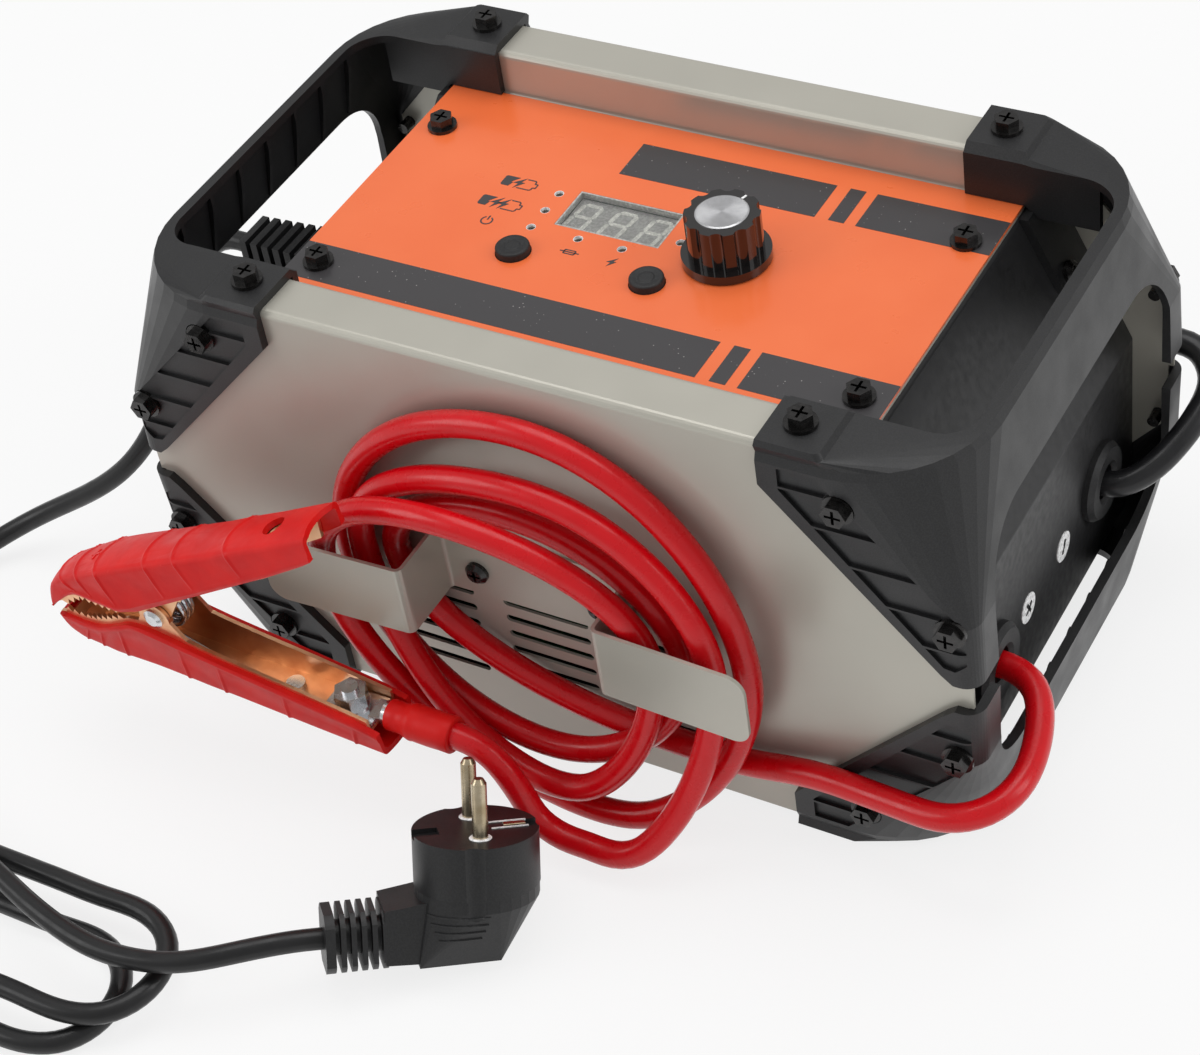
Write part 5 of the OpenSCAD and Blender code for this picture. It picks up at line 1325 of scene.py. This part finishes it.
# %% Plug grip lines
GRIP_LINES = ((-22.5, 9.0), (-25.1, 8.4), (-27.7, 7.6), (-30.3, 6.6))       # height and half length
GRIP_MIDDLE = -8.0
GRIP_HALF = 0.6
GRIP_PROFILE = ((-1.0, -0.3), (-0.5, 0.45), (0.5, 0.45), (1.0, -0.3))      # share of the half, rise
GRIP_STEPS = 12
RAY_START = 40

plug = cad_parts["mains_plug"]
bpy.context.view_layer.update()
plug_solid = plug.evaluated_get(bpy.context.evaluated_depsgraph_get())


def grip_bar(side, height, half_length):
    """a low raised line along the plug's flank, as rings of four points"""
    points, faces = [], []
    for k in range(GRIP_STEPS + 1):
        x = GRIP_MIDDLE + half_length * (2 * k / GRIP_STEPS - 1)
        for share, rise in GRIP_PROFILE:
            z = height + GRIP_HALF * share
            outside, inside = (on_plug(x, side * reach, z) * MM for reach in (RAY_START, 0))
            hit, skin_at, normal, index = plug_solid.ray_cast(outside, inside - outside)
            points.append(skin_at / MM + normal * rise if hit else inside / MM)
        if k:
            a, b = 4 * k - 4, 4 * k
            faces += [(a + j, a + (j + 1) % 4, b + (j + 1) % 4, b + j) for j in range(4)]
    count = len(points)
    return points, faces + [(0, 1, 2, 3), (count - 1, count - 2, count - 3, count - 4)]


for flank, side in (("front", -1), ("rear", 1)):
    for number, (height, half_length) in enumerate(GRIP_LINES, 1):
        name = f"plug_grip_line_{number}_{flank}"
        bar_shape = grip_bar(side, height, half_length)
        make_piece(name, *bar_shape, plug_plastic, "black_rubber", degrees=60)
print("grip lines:", 2 * len(GRIP_LINES))

# %% [markdown]
# The leads are free cords; each one's length is measured along its route
# where the lead is made. A lead's clamp or plug sits on its far end, and
# the names of every piece of each clamp are listed here.

# %% Clamp pieces named
CLAMP_PARTS = ("jaw_lower", "jaw_upper", "upper_grip", "lower_grip", "rivet", "clamp_spring",
               "lug_bolts", "shrink_sleeve")

for colour, (lead, route) in leads.items():
    clamp = [f"{colour}_{part}" for part in CLAMP_PARTS]
    clamp += [f"{colour}_moulded_bar_{k + 1}" for k in range(len(SIGN_BARS[colour]))]
print("cords declared:", len(leads) + 1)

# %% [markdown]
# The charger stands on a pale floor in plain soft light: an even pale sky and
# three large soft lamps. The floor would look grey where it gets less than
# full light, so what the camera and the shiny parts see of it is mixed
# most of the way to white. The rest still shows the shadow.

# %% Floor and light
SKY = 0.5
LAMPS = [
    # name, place and size in metres, and power in watts
    ("lamp_over", (-0.1, 0.25, 1.5), (1.3, 1.0), 9.0),
    ("lamp_left", (-1.3, -1.0, 1.0), (0.9, 0.9), 7.0),
    ("lamp_right", (1.5, 0.3, 0.9), (0.5, 1.2), 6.0),
]
LAMP_AIM = Vector((0, 0, 0.08))
FLOOR_HALF = 8.0            # metres
FLOOR_WHITE = 0.8           # share of pure white in what the camera sees of the floor


def make_floor():
    mesh = bpy.data.meshes.new("floor")
    corners = rectangle(-FLOOR_HALF, FLOOR_HALF, -FLOOR_HALF, FLOOR_HALF)
    mesh.from_pydata([(x, y, 0) for x, y in corners], [], [(0, 1, 2, 3)])
    floor = placed("floor", mesh)
    material = finish("white_floor", rough=0.9, specular=0.1)
    tinted(material, 300, 2, (0.84, 0.84, 0.84, 1), (0.86, 0.86, 0.86, 1))
    rays = add(material, "LightPath")
    seen = add(material, "Math", {0: rays.outputs["Is Camera Ray"], 1: rays.outputs["Is Glossy Ray"]},
               operation="MAXIMUM").outputs["Value"]
    seen = add(material, "Math", {0: seen, 1: rays.outputs["Is Transmission Ray"]},
               operation="MAXIMUM").outputs["Value"]
    share = add(material, "Math", {0: seen, 1: FLOOR_WHITE}, operation="MULTIPLY").outputs["Value"]
    white = add(material, "Emission", {"Color": (1, 1, 1, 1), "Strength": 1.0}).outputs["Emission"]
    mixed = add(material, "MixShader", {0: share})
    tree = material.node_tree
    tree.links.new(shader_of(material).outputs["BSDF"], mixed.inputs[1])
    tree.links.new(white, mixed.inputs[2])
    tree.links.new(mixed.outputs["Shader"], tree.nodes["Material Output"].inputs["Surface"])
    mesh.materials.append(material)


def make_lamps():
    for name, at, size, power in LAMPS:
        data = bpy.data.lights.new(name, "AREA")
        data.shape = "RECTANGLE"
        data.size, data.size_y = size
        data.energy = power
        lamp = placed(name, data)
        lamp.location = at
        lamp.rotation_mode = "QUATERNION"
        lamp.rotation_quaternion = (LAMP_AIM - Vector(at)).to_track_quat("-Z", "Y")


def make_sky():
    world = bpy.data.worlds.new("pale_sky")
    world.use_nodes = True
    sky = world.node_tree.nodes["Background"]
    sky.inputs["Color"].default_value = (1, 1, 1, 1)
    sky.inputs["Strength"].default_value = SKY
    bpy.context.scene.world = world


make_floor()
make_lamps()
make_sky()
bpy.context.scene.view_settings.view_transform = "Standard"
print("lamps:", len(LAMPS))
